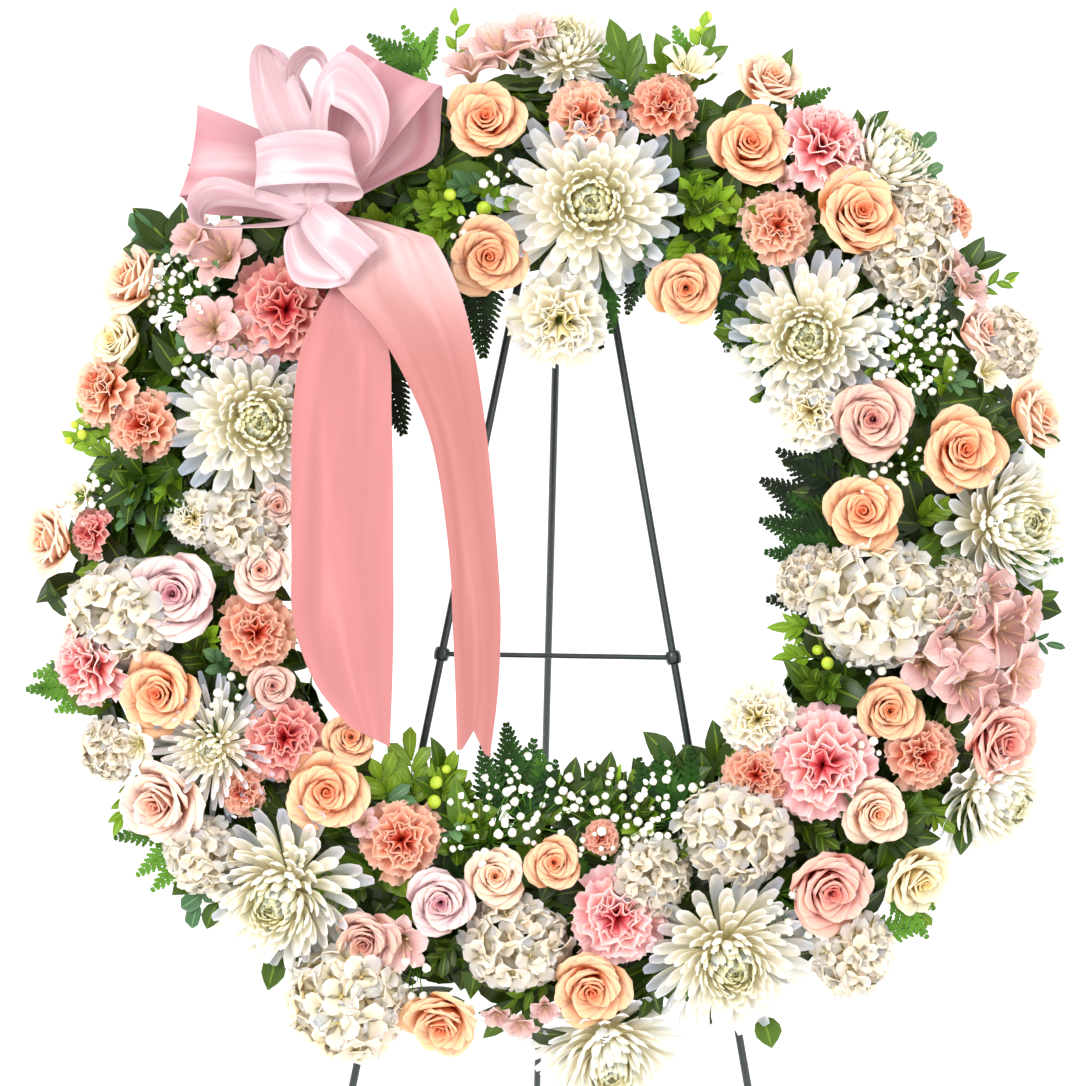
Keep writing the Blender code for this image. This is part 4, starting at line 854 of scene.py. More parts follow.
# kind, base pixel, tip pixel, leaf length and width in mm, count, tone
sprays = [
    ("eucalyptus", (170, 250), (128, 212), 26, 17, 5, 0.5), ("salal", (165, 245), (140, 215), 40, 24, 3, 0.3),
    ("pittosporum", (446, 215), (418, 190), 18, 9, 7, 0.8),
    ("pittosporum", (450, 190), (430, 170), 18, 9, 6, 0.7),
    ("pittosporum", (455, 225), (425, 240), 18, 9, 7, 0.9),
    ("ruscus", (690, 215), (700, 175), 22, 9, 9, 0.95), ("ruscus", (690, 225), (735, 190), 20, 9, 9, 0.9),
    ("ruscus", (690, 240), (670, 275), 20, 9, 8, 0.85), ("ruscus", (705, 250), (735, 250), 18, 8, 7, 0.9),
    ("salal", (635, 60), (612, 22), 34, 17, 5, 0.85), ("salal", (690, 80), (660, 40), 36, 18, 5, 0.9),
    ("salal", (640, 110), (610, 90), 34, 17, 4, 0.5), ("ruscus", (700, 50), (708, 6), 14, 8, 6, 1.0),
    ("salal", (700, 60), (716, 22), 26, 12, 4, 0.9), ("salal", (784, 78), (792, 50), 24, 10, 2, 0.8),
    ("ruscus", (450, 35), (455, 4), 14, 8, 4, 0.9), ("salal", (865, 135), (893, 106), 28, 15, 4, 0.6),
    ("eucalyptus", (905, 160), (940, 128), 18, 12, 7, 0.7),
    ("eucalyptus", (905, 170), (948, 162), 16, 11, 6, 0.7),
    ("salal", (960, 265), (1004, 256), 28, 15, 5, 0.5), ("ruscus", (965, 290), (1024, 270), 14, 6, 8, 0.6),
    ("pittosporum", (740, 350), (728, 312), 26, 12, 5, 0.5),
    ("pittosporum", (770, 400), (752, 398), 18, 9, 4, 0.6), ("ruscus", (800, 620), (775, 628), 20, 8, 7, 0.8),
    ("ruscus", (800, 650), (776, 660), 18, 8, 6, 0.8), ("salal", (1020, 610), (1062, 592), 22, 13, 5, 0.7),
    ("salal", (1030, 430), (1062, 440), 22, 12, 4, 0.6),
    ("eucalyptus", (1035, 640), (1066, 648), 14, 5, 6, 0.4),
    ("salal", (960, 520), (940, 585), 34, 15, 6, 0.6), ("salal", (900, 830), (935, 812), 26, 13, 5, 0.6),
    ("pittosporum", (905, 900), (935, 928), 18, 9, 8, 0.7),
    ("salal", (765, 1010), (772, 1048), 26, 22, 2, 0.8), ("salal", (1000, 800), (960, 850), 26, 14, 4, 0.5),
    ("salal", (700, 790), (650, 740), 34, 18, 5, 0.5), ("salal", (710, 770), (716, 730), 34, 18, 4, 0.4),
    ("pittosporum", (420, 800), (410, 735), 24, 11, 9, 0.8),
    ("pittosporum", (440, 800), (452, 755), 24, 11, 9, 0.9),
    ("pittosporum", (400, 790), (370, 760), 24, 11, 8, 0.85),
    ("pittosporum", (465, 830), (480, 800), 24, 12, 6, 0.7),
    ("salal", (455, 800), (430, 745), 30, 14, 4, 0.6), ("eucalyptus", (195, 860), (190, 930), 20, 16, 6, 0.5),
    ("salal", (270, 930), (268, 985), 30, 18, 3, 0.6), ("salal", (215, 880), (205, 930), 24, 16, 3, 0.6),
    ("ruscus", (110, 790), (112, 840), 18, 8, 6, 0.8), ("salal", (150, 480), (160, 515), 44, 20, 3, 0.2),
    ("salal", (130, 470), (108, 500), 44, 20, 4, 0.3), ("salal", (125, 480), (145, 460), 34, 16, 6, 0.5),
    ("ruscus", (90, 440), (72, 400), 16, 8, 6, 0.95), ("ruscus", (85, 450), (62, 432), 14, 8, 6, 0.95),
    ("pittosporum", (90, 570), (78, 588), 20, 9, 4, 0.8), ("eucalyptus", (75, 690), (36, 690), 14, 7, 7, 0.4),
    ("eucalyptus", (80, 680), (44, 665), 14, 7, 7, 0.45), ("salal", (180, 720), (215, 730), 30, 15, 4, 0.3),
    ("salal", (590, 250), (560, 320), 30, 14, 3, 0.3),
    ("pittosporum", (680, 870), (660, 850), 22, 10, 6, 0.5),
    ("ruscus", (560, 1000), (500, 1010), 18, 8, 6, 0.6),
    ("pittosporum", (340, 870), (310, 900), 22, 10, 6, 0.6),
    ("salal", (860, 900), (845, 850), 26, 12, 5, 0.5), ("pittosporum", (690, 200), (715, 228), 20, 9, 8, 0.9),
    ("salal", (575, 812), (600, 780), 24, 12, 6, 0.6), ("pittosporum", (610, 800), (640, 768), 20, 9, 7, 0.7),
    ("pittosporum", (540, 812), (560, 775), 20, 9, 7, 0.7), ("salal", (560, 800), (575, 765), 28, 14, 5, 0.3),
    ("salal", (590, 800), (610, 762), 28, 14, 5, 0.4), ("salal", (620, 800), (600, 770), 28, 14, 4, 0.2),
    ("salal", (520, 812), (535, 775), 28, 14, 5, 0.3), ("salal", (640, 800), (662, 758), 30, 15, 5, 0.3),
    ("salal", (670, 800), (690, 745), 32, 16, 5, 0.4), ("ruscus", (600, 800), (622, 766), 18, 7, 7, 0.9),
    ("ruscus", (650, 805), (648, 772), 20, 9, 7, 0.9), ("salal", (830, 470), (798, 462), 30, 14, 5, 0.1),
    ("salal", (835, 500), (800, 492), 30, 14, 5, 0.1), ("salal", (835, 530), (802, 520), 30, 14, 5, 0.1),
    ("salal", (830, 555), (804, 552), 28, 14, 5, 0.2), ("salal", (830, 450), (800, 440), 26, 13, 4, 0.3),
    ("pittosporum", (835, 480), (812, 476), 18, 8, 6, 0.4),
    ("salal", (740, 1010), (690, 1018), 26, 13, 4, 0.3), ("salal", (660, 1000), (640, 1016), 24, 12, 4, 0.3),
    ("salal", (706, 130), (706, 96), 26, 13, 5, 0.5), ("salal", (985, 420), (1010, 404), 26, 13, 4, 0.4),
    ("salal", (880, 880), (862, 868), 24, 12, 4, 0.5), ("salal", (905, 700), (928, 716), 24, 12, 4, 0.3),
    ("pittosporum", (745, 215), (722, 200), 18, 9, 7, 1.0), ("ruscus", (715, 215), (722, 178), 18, 8, 8, 1.0),
    ("salal", (772, 132), (786, 102), 28, 15, 5, 0.4), ("salal", (1000, 447), (1022, 424), 28, 15, 5, 0.4),
    ("salal", (946, 747), (970, 720), 28, 15, 5, 0.4), ("salal", (903, 852), (936, 838), 28, 15, 5, 0.4),
]
for kind, low, high, leaf, width, count, tone in sprays:
    base, out = on_dome(*on_photo(*low))
    tip_flat = on_ring(*on_photo(*high))
    base -= out * 0.022
    tip = Vector((tip_flat.x, base.y - 0.006, tip_flat.z))
    if 0.2 < tip_flat.length < 0.36:
        tip = on_dome(*on_photo(*high))[0]
    reach = max(0.012, (tip - base).length - leaf * 0.00075)
    add_sprig(kind, base, tip - base, (out + Vector((0, -1.2, 0))).normalized(),
              reach, leaf * 0.001, width * 0.001, count, tone * 0.8)

leaf_tones = {
    "salal": ("#0E1C04", "#223C08", "#4A6A10", "#84A024"),
    "pittosporum": ("#182E06", "#3A560A", "#6A8818", "#A2BA36"),
    "ruscus": ("#1A3206", "#42660C", "#749A1E", "#AACA3A"),
    "eucalyptus": ("#1C3A22", "#385E38", "#5E8454", "#8AAA80"),
}
for kind, tones in leaf_tones.items():
    material, shader = new_finish(f"{kind}_leaf", Roughness=0.32, IOR=1.45, Specular_IOR_Level=0.32)
    flat = add_node(material, "UVMap", {"uv_map": "UVMap"})
    split = add_node(material, "SeparateXYZ", {}, {"Vector": flat})
    own = add_node(material, "Attribute", {"attribute_name": "ring"})
    tone = add_node(material, "ValToRGB", {"stops": [
        (0.0, tones[0]), (0.4, tones[1]), (0.75, tones[2]), (1.0, tones[3]),
    ]}, {"Fac": (own, "Fac")})
    rib_off = from_middle(material, split)
    rib = ranged(material, rib_off, 0.015, 0.06, 0.55, 0.0)
    slant = add_node(material, "Math", {"operation": "MULTIPLY_ADD", 1: -1.4},
                     {0: rib_off, 2: (split, "Y")})
    place_vein = add_node(material, "CombineXYZ", {}, {"X": slant})
    side_veins = add_node(material, "TexWave", {"Scale": 3.2, "Distortion": 0.6},
                          {"Vector": place_vein})
    vein = ranged(material, (side_veins, "Fac"), 0.86, 1.0, 0.0, 0.28)
    both = add_node(material, "Math", {"operation": "MAXIMUM"},
                    {0: rib, 1: vein})
    veined = blended(material, both, tone, tones[3])
    surfaced(material, shader, veined, both, 0.4, 0.0004, invert=True)
    leaves = shaped_copies(flat_petal(2, 5), f"leaves_{kind}", leaf_specs[kind], placed(strap))
    thickened(leaves, 0.0005)
    finished(leaves, material, nodes={
        "salal": ["greens_rim_top", "greens_rim_left", "greens_rim_right", "greens_rim_upper_right"],
        "pittosporum": ["greens_hole_right", "greens_hole_bottom", "greens_left", "greens_top_left"],
        "ruscus": ["greens_right", "greens_lower_right", "greens_hole_top"],
        "eucalyptus": ["greens_rim_lower_right", "greens_rim_lower_left"],
    }[kind], smooth=60)

# A fern frond is a thin rib with some ten pairs of toothed leaflets that shorten towards its tip.
saw = ((0, 0.12, 0.2, 0.32, 0.4, 0.52, 0.6, 0.72, 0.8, 0.92, 1.0),
       (0.3, 1.0, 0.62, 0.98, 0.58, 0.86, 0.5, 0.68, 0.36, 0.4, 0.04))
fern_specs = []
fronds = [
    ((420, 60), (368, 32)), ((425, 55), (402, 22)), ((430, 70), (380, 62)), ((415, 45), (436, 24)),
    ((800, 95), (832, 84)), ((575, 300), (602, 345)), ((560, 290), (582, 348)), ((700, 60), (676, 22)),
    ((830, 520), (764, 480)), ((835, 540), (762, 520)), ((840, 500), (780, 450)), ((835, 560), (768, 552)),
    ((825, 470), (800, 440)), ((840, 525), (790, 495)), ((840, 600), (770, 600)), ((820, 380), (756, 372)),
    ((820, 350), (736, 340)), ((520, 800), (506, 726)), ((540, 810), (556, 762)), ((500, 810), (482, 748)),
    ((515, 820), (534, 742)), ((680, 830), (658, 748)), ((690, 830), (640, 770)), ((660, 830), (620, 790)),
    ((690, 820), (690, 752)), ((160, 840), (112, 840)), ((170, 850), (134, 878)), ((180, 860), (150, 892)),
    ((150, 820), (116, 806)), ((900, 900), (938, 912)), ((905, 905), (930, 940)), ((280, 940), (262, 962)),
    ((85, 670), (30, 676)), ((80, 690), (24, 690)), ((85, 700), (52, 712)), ((880, 600), (800, 640)),
    ((700, 950), (690, 1000)), ((700, 260), (672, 268)), ((330, 860), (300, 880)), ((470, 870), (420, 880)),
    ((185, 500), (140, 520)), ((1010, 560), (1066, 560)), ((560, 850), (600, 880)), ((880, 950), (930, 930)),
    ((370, 322), (402, 432)), ((478, 262), (483, 355)), ((834, 470), (786, 462)), ((836, 510), (784, 508)),
    ((836, 550), (782, 538)), ((545, 812), (540, 752)), ((600, 812), (590, 764)), ((650, 815), (640, 760)),
    ((730, 290), (728, 350)), ((600, 270), (612, 330)), ((640, 268), (628, 312)), ((780, 400), (756, 396)),
]
for number, (low, high) in enumerate(fronds):
    base, out = on_dome(*on_photo(*low))
    base -= out * 0.014
    tip_flat = on_ring(*on_photo(*high))
    tip = Vector((tip_flat.x, base.y - 0.004 + 0.004 * (number % 3), tip_flat.z))
    run = tip - base
    face = Vector((leaf_draw.uniform(-0.3, 0.3), -1, leaf_draw.uniform(-0.2, 0.2)))
    frond = np.array(lying(base, run, face, run.length))
    # Fronds that end nearer the ring's centre than 0.31 m, in and over the hole, take darker tones than those
    # at the outer rim: painted shade.
    tone = leaf_draw.uniform(0.45, 0.95) if tip_flat.length > 0.31 else leaf_draw.uniform(0.0, 0.4)
    fern_specs.append(blade(frond, 1.45, 1.69, 0.0011 / run.length, ((0, 1), (1, 0.4)), tone))
    pairs = max(7, round(run.length / 0.0055))
    for i in range(pairs):
        along = 0.18 + 0.80 * i / (pairs - 1)
        reach = 0.34 * (1 - 0.86 * ((along - 0.18) / 0.82) ** 1.3) * leaf_draw.uniform(0.9, 1.08)
        arch = 0.12 * math.sin(math.pi * along)
        for hand in (-1, 1):
            aim = hand * (1.05 - 0.35 * along)
            turn = np.array(Matrix.Translation((along, 0, arch * 0.4)) @ Matrix.Rotation(aim, 4, "Z"))
            fern_specs.append(blade(
                frond @ turn, 1.4, 1.4 + leaf_draw.uniform(0.2, 0.7),
                0.0034 / run.length * (1.1 - 0.4 * along), saw, tone, 0.3, reach))
fern_leaf, shader = new_finish("fern_leaflet", Roughness=0.5, IOR=1.4, Specular_IOR_Level=0.2)
own = add_node(fern_leaf, "Attribute", {"attribute_name": "ring"})
place = add_node(fern_leaf, "TexCoord")
patches = add_node(fern_leaf, "TexNoise", {"Scale": 60.0}, {"Vector": (place, "Object")})
mixed = add_node(fern_leaf, "Math", {"operation": "MULTIPLY_ADD", 1: 0.6},
                 {0: patches, 2: (own, "Fac")})
tone = add_node(fern_leaf, "ValToRGB", {"stops": [
    (0.3, "#081603"), (0.7, "#1E440C"), (1.0, "#568426"),
]}, {"Fac": mixed})
surfaced(fern_leaf, shader, tone, patches, 0.3, 0.0003)
ferns = thickened(shaped_copies(flat_petal(2, 10), "fern_fronds", fern_specs, placed(strap)), 0.0004)
finished(ferns, fern_leaf, smooth=60)
stalks = thickened(shaped_copies(flat_petal(1, 4), "leaf_stalks", stalk_specs, placed(strap)), 0.0012)
finished(stalks, fern_leaf, smooth=60)

# Baby's breath is a cloud of white ruffled florets, each a few millimetres wide, on hair-thin stalks.
gyp_places = [
    (265, 146, 76, 84, "gypsophila_right"), (-40, -203, 80, 40, "gypsophila_bottom"),
    (51, -198, 84, 44, "gypsophila_bottom"), (-272, 187, 60, 40, "gypsophila_upper_left"),
    (-340, 35, 44, 20, "gypsophila_upper_left"), (242, 44, 40, 14, "gypsophila_right"),
    (-10, -186, 70, 26, "gypsophila_bottom"), (90, -190, 60, 22, "gypsophila_bottom"),
    (-36, 268, 30, 8, "gypsophila_upper_left"), (-256, 132, 36, 14, "gypsophila_upper_left"),
    (-186, -232, 40, 14, "gypsophila_bottom"), (-102, -318, 40, 12, "gypsophila_bottom"),
    (176, -270, 44, 14, "gypsophila_bottom"), (233, -82, 34, 8, "gypsophila_right"),
    (262, 62, 34, 10, "gypsophila_right"), (230, -142, 36, 10, "gypsophila_right"),
    (-60, 232, 24, 6, "gypsophila_upper_left"),
    (-234, -112, 36, 10, "gypsophila_upper_left"), (70, -232, 44, 18, "gypsophila_bottom"),
]
select_only(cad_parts["crossbar"])
bpy.ops.mesh.primitive_ico_sphere_add(subdivisions=2, radius=1)
floret = bpy.context.object
gyp_draw = random.Random(51)
for vertex in floret.data.vertices:
    vertex.co *= gyp_draw.uniform(0.72, 1.12)
gyp_stalks, florets = [], []
for x, z, width, count, node in gyp_places:
    root, out = on_dome(x, z)
    facing = (out * 0.5 + Vector((0, -0.5, 0))).normalized()
    side = facing.orthogonal().normalized()
    up = facing.cross(side)
    for i in range(count):
        spread = math.sqrt((i + 0.5) / count) * width * 0.0005
        angle = i * golden + gyp_draw.uniform(-0.4, 0.4)
        tip = (root + (side * math.cos(angle) + up * math.sin(angle)) * spread
               + facing * gyp_draw.uniform(0.0, 0.014) * (1 - spread / 0.06))
        size = gyp_draw.uniform(0.0017, 0.0038)
        made = own_copy(floret, "floret")
        made.data.transform(hanging @ Matrix.Translation(tip)
                            @ Matrix.Rotation(angle * 3, 4, facing) @ Matrix.Scale(size, 4))
        florets.append(made)
        foot = root - out * 0.026
        run = tip - foot
        gyp_stalks.append(blade(lying(foot, run, side, run.length), 1.4, 1.74, 0.0003 / run.length,
                                ((0, 1), (1, 1)), 0.9))
floret_petals = mottled(
    "gypsophila_petals", "TexNoise", 700.0, [(0.35, "#E6E3CC"), (0.6, "#FDFCF5")], 0.5, 0.0003,
    Roughness=0.6, Sheen_Weight=0.1, Subsurface_Weight=0.2, Subsurface_Scale=0.001)
finished(joined(florets, "gypsophila_florets"), floret_petals,
         nodes=["gypsophila_right", "gypsophila_bottom", "gypsophila_upper_left"], smooth=80)
bpy.data.objects.remove(floret)
gyp_stems = thickened(shaped_copies(flat_petal(1, 2), "gypsophila_stalks", gyp_stalks, placed(strap)), 0.0006)
finished(gyp_stems, fern_leaf, smooth=60)

# Green buds of lisianthus and hypericum stand between the heads.
bud_places = [
    (450, 194, 11), (484, 208, 13), (834, 637, 13), (828, 663, 11), (818, 650, 9), (840, 650, 8),
    (701, 25, 9), (710, 7, 10), (80, 434, 9), (72, 424, 7), (436, 783, 11), (434, 802, 12), (446, 770, 8),
    (66, 440, 7), (1018, 276, 6), (1012, 282, 6), (455, 12, 6),
]
buds = []
for px, py, width in bud_places:
    root, out = on_dome(*on_photo(px, py))
    select_only(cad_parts["crossbar"])
    bpy.ops.mesh.primitive_uv_sphere_add(segments=16, ring_count=10, radius=0.5)
    bud = bpy.context.object
    for vertex in bud.data.vertices:
        pinch = 1 - 0.35 * max(0.0, vertex.co.z * 2) ** 2
        vertex.co = (vertex.co.x * pinch, vertex.co.y * pinch, vertex.co.z * 1.25)
    sway = Vector((leaf_draw.uniform(-0.4, 0.4), -0.5, leaf_draw.uniform(0.0, 0.6)))
    aim = (out * 0.5 + sway).normalized().to_track_quat("Z", "Y").to_matrix().to_4x4()
    bud.data.transform(hanging @ Matrix.Translation(root) @ aim @ Matrix.Scale(width * 0.00085, 4))
    buds.append(bud)
bud_skin = mottled(
    "green_bud", "TexNoise", 90.0, [(0.35, "#9DBB2A"), (0.65, "#CFE04A")], 0.15, 0.0004, {"Detail": 3.0},
    Roughness=0.35, IOR=1.45, Coat_Weight=0.2, Subsurface_Weight=0.1, Subsurface_Scale=0.003)
finished(joined(buds, "green_buds"), bud_skin, smooth=80)

# The bow is satin ribbon on two knots: two wide pink loops behind, five narrow pale loops in front,
# and two wide tails that hang over the hole, the right one crossing the left. Each is a strip of
# woven satin, pleated where the knot gathers it, a few tenths of a millimetre thick.
hang_round = Matrix.Rotation(-hang_turn, 4, "Y")
wide_knot, wide_knot_radii = Vector((-0.157, -0.109, 0.256)), (0.015, 0.012, 0.017)
narrow_knot, narrow_knot_radii = Vector((-0.168, -0.137, 0.255)), (0.017, 0.016, 0.017)
wide_loops = {
    "left": [
        (-166, -100, 278, -163, -100, 236), (-210, -93, 304, -214, -93, 241),
        (-247, -97, 317, -253, -97, 243), (-255, -109, 320, -267, -109, 253),
        (-250, -121, 318, -264, -121, 254), (-210, -126, 301, -213, -126, 257),
        (-169, -118, 276, -166, -118, 239),
    ],
    "right": [
        (-163, -118, 282, -146, -118, 249), (-158, -125, 326, -112, -125, 294),
        (-151, -122, 354, -88, -122, 324), (-143, -110, 365, -78, -110, 335),
        (-137, -98, 351, -79, -98, 317), (-135, -93, 311, -84, -93, 285),
        (-144, -96, 273, -113, -96, 269), (-160, -102, 267, -144, -102, 253),
    ],
}
narrow_loops = {
    "top": [
        (-182, -140, 271, -159, -140, 274), (-207, -152, 296, -169, -146, 305),
        (-214, -156, 326, -181, -136, 333), (-214, -152, 352, -195, -130, 356),
        (-207, -142, 361, -190, -128, 354), (-197, -133, 351, -176, -130, 332),
        (-188, -131, 318, -166, -131, 307), (-178, -136, 282, -163, -136, 276),
    ],
    "right": [
        (-173, -146, 274, -157, -146, 269), (-171, -150, 311, -159, -150, 300),
        (-166, -154, 336, -157, -154, 315), (-147, -156, 354, -153, -156, 314),
        (-125, -155, 337, -141, -150, 308), (-115, -148, 314, -131, -138, 295),
        (-120, -140, 289, -130, -132, 277), (-137, -136, 269, -144, -136, 266),
    ],
    "centre": [
        (-169, -150, 282, -169, -150, 247), (-190, -147, 284, -191, -147, 245),
        (-207, -152, 287, -209, -152, 247), (-210, -160, 289, -210, -160, 255),
        (-197, -167, 293, -197, -167, 257), (-175, -170, 296, -172, -170, 258),
        (-154, -166, 295, -146, -166, 258), (-144, -158, 289, -134, -158, 254),
        (-146, -150, 285, -137, -150, 248), (-160, -148, 283, -157, -148, 247),
    ],
    "left": [
        (-179, -146, 248, -179, -140, 232), (-210, -154, 256, -203, -140, 241),
        (-235, -155, 264, -228, -136, 245), (-252, -152, 260, -243, -134, 244),
        (-260, -150, 245, -250, -132, 236), (-251, -150, 229, -242, -132, 229),
        (-215, -150, 228, -210, -134, 232), (-185, -146, 231, -184, -140, 236),
    ],
    "lower": [
        (-163, -150, 248, -178, -150, 229), (-144, -158, 234, -163, -158, 207),
        (-125, -154, 217, -146, -154, 191), (-123, -147, 213, -146, -147, 188),
        (-140, -141, 207, -162, -141, 185), (-169, -139, 219, -185, -139, 191),
        (-180, -141, 236, -191, -141, 220),
    ],
    "curl": [
        (-182, -134, 289, -178, -130, 295), (-190, -140, 333, -182, -130, 327),
        (-187, -142, 351, -179, -130, 343), (-173, -142, 360, -171, -130, 352),
        (-160, -142, 351, -164, -130, 342), (-160, -138, 318, -166, -130, 317),
    ],
}
tails = {
    "left": [
        (-150, -107, 239, -164, -107, 239), (-144, -126, 207, -154, -126, 201),
        (-130, -131, 166, -169, -131, 166), (-116, -131, 141, -180, -131, 141),
        (-114, -128, 92, -186, -128, 92), (-113, -125, 40, -187, -125, 40),
        (-113, -122, -11, -187, -122, -11), (-113, -119, -55, -186, -119, -55),
        (-114, -116, -99, -171, -116, -99), (-116, -113, -147, -146, -113, -132),
    ],
    "right": [
        (-150, -113, 239.9, -164, -113, 239.9), (-94, -128, 226, -150, -124, 230),
        (-80, -136, 216, -152, -136, 207), (-64, -141, 181, -154, -141, 188),
        (-55, -141, 146, -122, -139, 152), (-47, -137, 95, -92, -137, 95),
        (-42, -133, 51, -80, -133, 51), (-37, -129, -11, -72, -129, -11),
        (-35, -125, -55, -70, -125, -55), (-37, -119, -106, -68, -119, -106),
        (-43, -112, -154, -67, -112, -149),
    ],
}


def satin_strip(name, sections, knot, crown, pleats, notch, thickness):
    """A ribbon through its sections, smooth along its length and pleated where a knot gathers it."""
    rows = np.array(sections, float) * 0.001
    if knot is not None:
        hold = np.array(list(knot) * 2)
        rows = np.vstack([hold + (rows[0] - hold) * 0.45, rows, hold + (rows[-1] - hold) * 0.45])
    padded = np.vstack([2 * rows[0] - rows[1], rows, 2 * rows[-1] - rows[-2]])
    steps, columns = 8, 12
    count = (len(rows) - 1) * steps
    strip = flat_petal(columns, count)
    strip.name = strip.data.name = name
    flat = np.empty(len(strip.data.vertices) * 3, np.float32)
    strip.data.vertices.foreach_get("co", flat)
    across, along = flat[0::3].astype(float), (flat[1::3].astype(float) + 1) / 2
    reach = along * (len(rows) - 1)
    first = np.minimum(reach.astype(int), len(rows) - 2)
    t = (reach - first)[:, None]
    a, b, c, d = (padded[first + k] for k in range(4))
    edges = 0.5 * (2 * b + (c - a) * t + (2 * a - 5 * b + 4 * c - d) * t ** 2
                   + (3 * b - a - 3 * c + d) * t ** 3)
    pull = 0.5 * ((c - a) + 2 * (2 * a - 5 * b + 4 * c - d) * t + 3 * (3 * b - a - 3 * c + d) * t ** 2)
    one, two = edges[:, :3], edges[:, 3:]
    width = np.linalg.norm(two - one, axis=1)
    face = np.cross(pull[:, :3] + pull[:, 3:], two - one)
    face /= np.maximum(np.linalg.norm(face, axis=1), 1e-9)[:, None]
    share = ((across + 1) / 2)[:, None]
    points = one + (two - one) * share
    ends = np.minimum(along, 1 - along) if knot is not None else along
    gather = np.clip(1 - ends / (0.18 if knot is not None else 0.14), 0, 1) ** 1.5
    ripple = pleats * width * gather * np.sin(across * 9.4)
    swell = crown * width * (1 - across ** 2) + 0.006 * width * np.sin(along * 11 + across * 2.2)
    points += face * (ripple + swell)[:, None]
    if notch:
        cut = np.clip((along - 0.9) / 0.1, 0, 1) * np.maximum(0, 1 - np.abs(across) * 1.4)
        points[:, 2] += notch * cut
    strip.data.vertices.foreach_set("co", points.astype(np.float32).ravel())
    strip.data.transform(hanging @ hang_round)
    return thickened(strip, thickness)


def satin(name, shade, body, painted_shine, rough, painted_highlight, painted_highlight_end):
    """Woven satin with a fine rib across it. Its colour holds painted shade and painted highlight: streaks
    along the ribbon between a shade and a shine colour, and a painted highlight fading out from where the
    strip starts.
    """
    material, shader = new_finish(
        name, Roughness=rough, IOR=1.45, Sheen_Weight=0.12, Sheen_Roughness=0.35, Anisotropic=0.3,
        Subsurface_Weight=0.05, Subsurface_Scale=0.002)
    flat = add_node(material, "UVMap", {"uv_map": "UVMap"})
    wide = add_node(material, "Mapping", {"Scale": (2.4, 1.3, 1.0)}, {"Vector": flat})
    painted_streaks = add_node(material, "TexNoise", {"Scale": 1.6, "Detail": 1.5, "Distortion": 0.8},
                     {"Vector": wide})
    # Painted shade and painted highlight: the noise runs the colour from the shade stop to the shine stop in
    # streaks along the ribbon.
    tone = add_node(material, "ValToRGB", {"stops": [
        (0.30, shade), (0.52, body), (0.75, painted_shine),
    ]}, {"Fac": painted_streaks})
    split = add_node(material, "SeparateXYZ", {}, {"Vector": flat})
    # A painted highlight: near where each strip starts, the colour is mixed towards the highlight colour,
    # fading out along the strip.
    painted_highlight_fade = ranged(material, (split, "Y"), 0.12, painted_highlight_end, 1.0, 0.0, interpolation_type="SMOOTHSTEP")
    painted_highlight_share = add_node(material, "Math", {"operation": "MULTIPLY"}, {0: painted_highlight_fade, 1: painted_streaks})
    with_painted_highlight = blended(material, painted_highlight_share, tone, painted_highlight)
    thread = add_node(material, "Mapping", {"Scale": (240.0, 12.0, 1.0)}, {"Vector": flat})
    warp = add_node(material, "TexNoise", {"Scale": 1.0, "Detail": 2.0},
                    {"Vector": thread})
    hem = ranged(material, from_middle(material, split), 0.465, 0.48, 0.0, 1.0)
    raised = add_node(material, "Math", {"operation": "MULTIPLY_ADD", 1: 3.0},
                      {0: hem, 2: warp})
    surfaced(material, shader, with_painted_highlight, raised, 0.12, 0.0002)
    return material


# The knot's and left tail's pink and the narrow loops' pale pink are the ribbons' own colours. The right tail
# takes the same pink painted darker as shade, with a near-white painted highlight at its top. The wide loops
# take it painted lighter as if lit, with a painted highlight where they leave the knot.
pink_satin = satin("satin_pink", "#A96A6A", "#B16F6E", "#BE7D7C", 0.40, "#B97479", 0.30)
shaded_satin_copy = satin("satin_pink_shaded_copy", "#A2645F", "#AA6A66", "#B67673", 0.40, "#E6D2D2", 0.46)
lit_satin_copy = satin("satin_pink_lit_copy", "#B0747C", "#B7858B", "#CBA3A7", 0.34, "#C89CA0", 0.30)
pale_satin = satin("satin_pale_pink", "#BA9299", "#C4A6AB", "#D6C8CA", 0.26, "#C4A6AB", 0.30)


def knot_wrap(name, centre, radii, material):
    """The wrap of ribbon that holds the loops, a pleated ball."""
    select_only(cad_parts["crossbar"])
    bpy.ops.mesh.primitive_uv_sphere_add(segments=48, ring_count=24, radius=1)
    piece = bpy.context.object
    piece.name = piece.data.name = name
    for vertex in piece.data.vertices:
        pleat = 1 + 0.05 * math.sin(9 * math.atan2(vertex.co.y, vertex.co.x))
        vertex.co = centre + Vector([part * radius * pleat for part, radius in zip(vertex.co, radii)])
    piece.data.transform(hanging @ hang_round)
    return finished(piece, material, smooth=60)


wide_wrap = knot_wrap("bow_wide_knot", wide_knot, wide_knot_radii, pink_satin)
narrow_wrap = knot_wrap("bow_narrow_knot", narrow_knot, narrow_knot_radii, pale_satin)
for side, sections in wide_loops.items():
    loop = satin_strip(f"bow_wide_loop_{side}", sections, wide_knot, 0.05, 0.08, 0, 0.0005)
    finished(loop, lit_satin_copy, nodes=["bow_wide_loops"], smooth=60)
for side, sections in narrow_loops.items():
    loop = satin_strip(f"bow_narrow_loop_{side}", sections, narrow_knot, 0.05, 0.08, 0, 0.0005)
    finished(loop, pale_satin, nodes=["bow_narrow_loops"], smooth=60)
for side, sections in tails.items():
    tail = satin_strip(
        f"ribbon_tail_{side}", sections, None, 0.03, 0.10, 0.016 if side == "right" else 0, 0.0005)
    finished(tail, pink_satin if side == "left" else shaded_satin_copy,
             nodes=[f"ribbon_tail_{side}"], smooth=60)
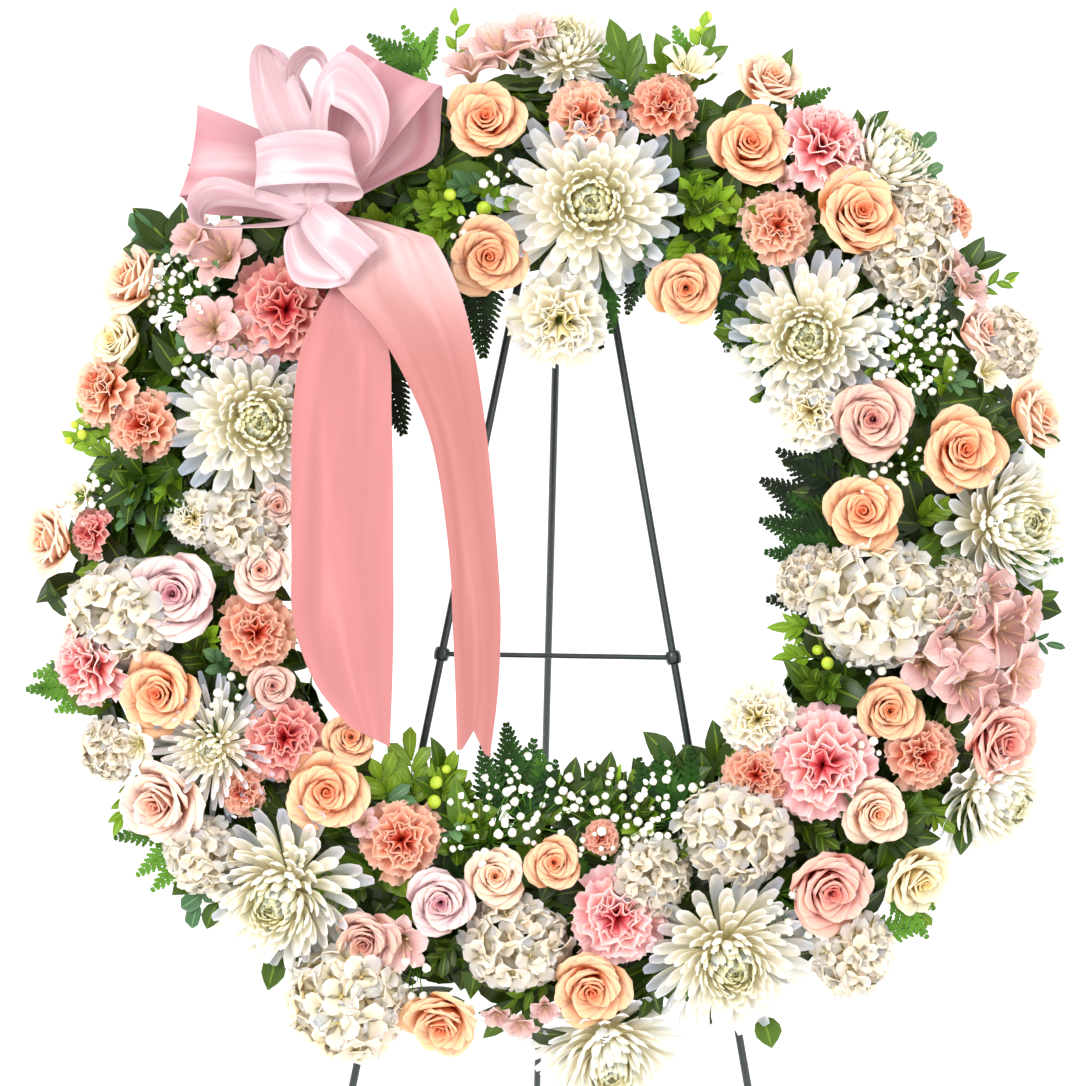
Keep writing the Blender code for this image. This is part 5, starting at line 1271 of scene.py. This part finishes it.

# The studio: a pale seamless floor, two large soft lights in front and a white surround, seen by a long
# lens that looks straight at the face of the wreath.
select_only(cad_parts["crossbar"])
bpy.ops.mesh.primitive_plane_add(size=60, location=(0, 20, 0))
floor = bpy.context.object
floor.name = "studio_floor"
paper, shader = new_finish("studio_paper", Roughness=0.9)
place = add_node(paper, "TexCoord")
grain = add_node(paper, "TexNoise", {"Scale": 3.0, "Detail": 2.0}, {"Vector": (place, "Object")})
tone = add_node(paper, "ValToRGB", {"stops": [
    (0.3, "#FBFAF9"), (0.7, "#FFFFFF"),
]}, {"Fac": grain})
paper.node_tree.links.new(tone.outputs["Color"], shader.inputs["Base Color"])
floor.data.materials.append(paper)

world = bpy.data.worlds.new("studio_surround")
bpy.context.scene.world = world
bpy.context.scene.view_settings.view_transform = "Standard"
world.use_nodes = True
surround = world.node_tree.nodes["Background"]
surround.inputs["Color"].default_value = (1.0, 1.0, 1.0, 1.0)
surround.inputs["Strength"].default_value = 1.40
for name, place, size, power in (
        ("key_light", (-1.4, -2.6, 2.4), 1.2, 58.0), ("fill_light", (1.8, -2.4, 1.4), 1.8, 11.0)):
    lamp_data = bpy.data.lights.new(name, "AREA")
    lamp_data.energy = power
    lamp_data.size = size
    lamp = bpy.data.objects.new(name, lamp_data)
    bpy.context.scene.collection.objects.link(lamp)
    lamp.matrix_world = Matrix.Translation(place) @ (
        Vector(place) - Vector((0, -0.1, 0.83))).to_track_quat("Z", "Y").to_matrix().to_4x4()

lens_distance = 2.73
half_width = 0.3975
camera_data = bpy.data.cameras.new("camera")
camera_data.lens = camera_data.sensor_width / 2 / (half_width / (lens_distance - 0.1))
camera = bpy.data.objects.new("camera", camera_data)
bpy.context.scene.collection.objects.link(camera)
bpy.context.scene.camera = camera
roll = Matrix((
    (math.cos(hang_turn), -math.sin(hang_turn), 0), (0, 0, -1),
    (math.sin(hang_turn), math.cos(hang_turn), 0),
)).to_4x4()
camera.matrix_world = hanging @ Matrix.Translation((-0.0044, -lens_distance, 0.0015)) @ roll
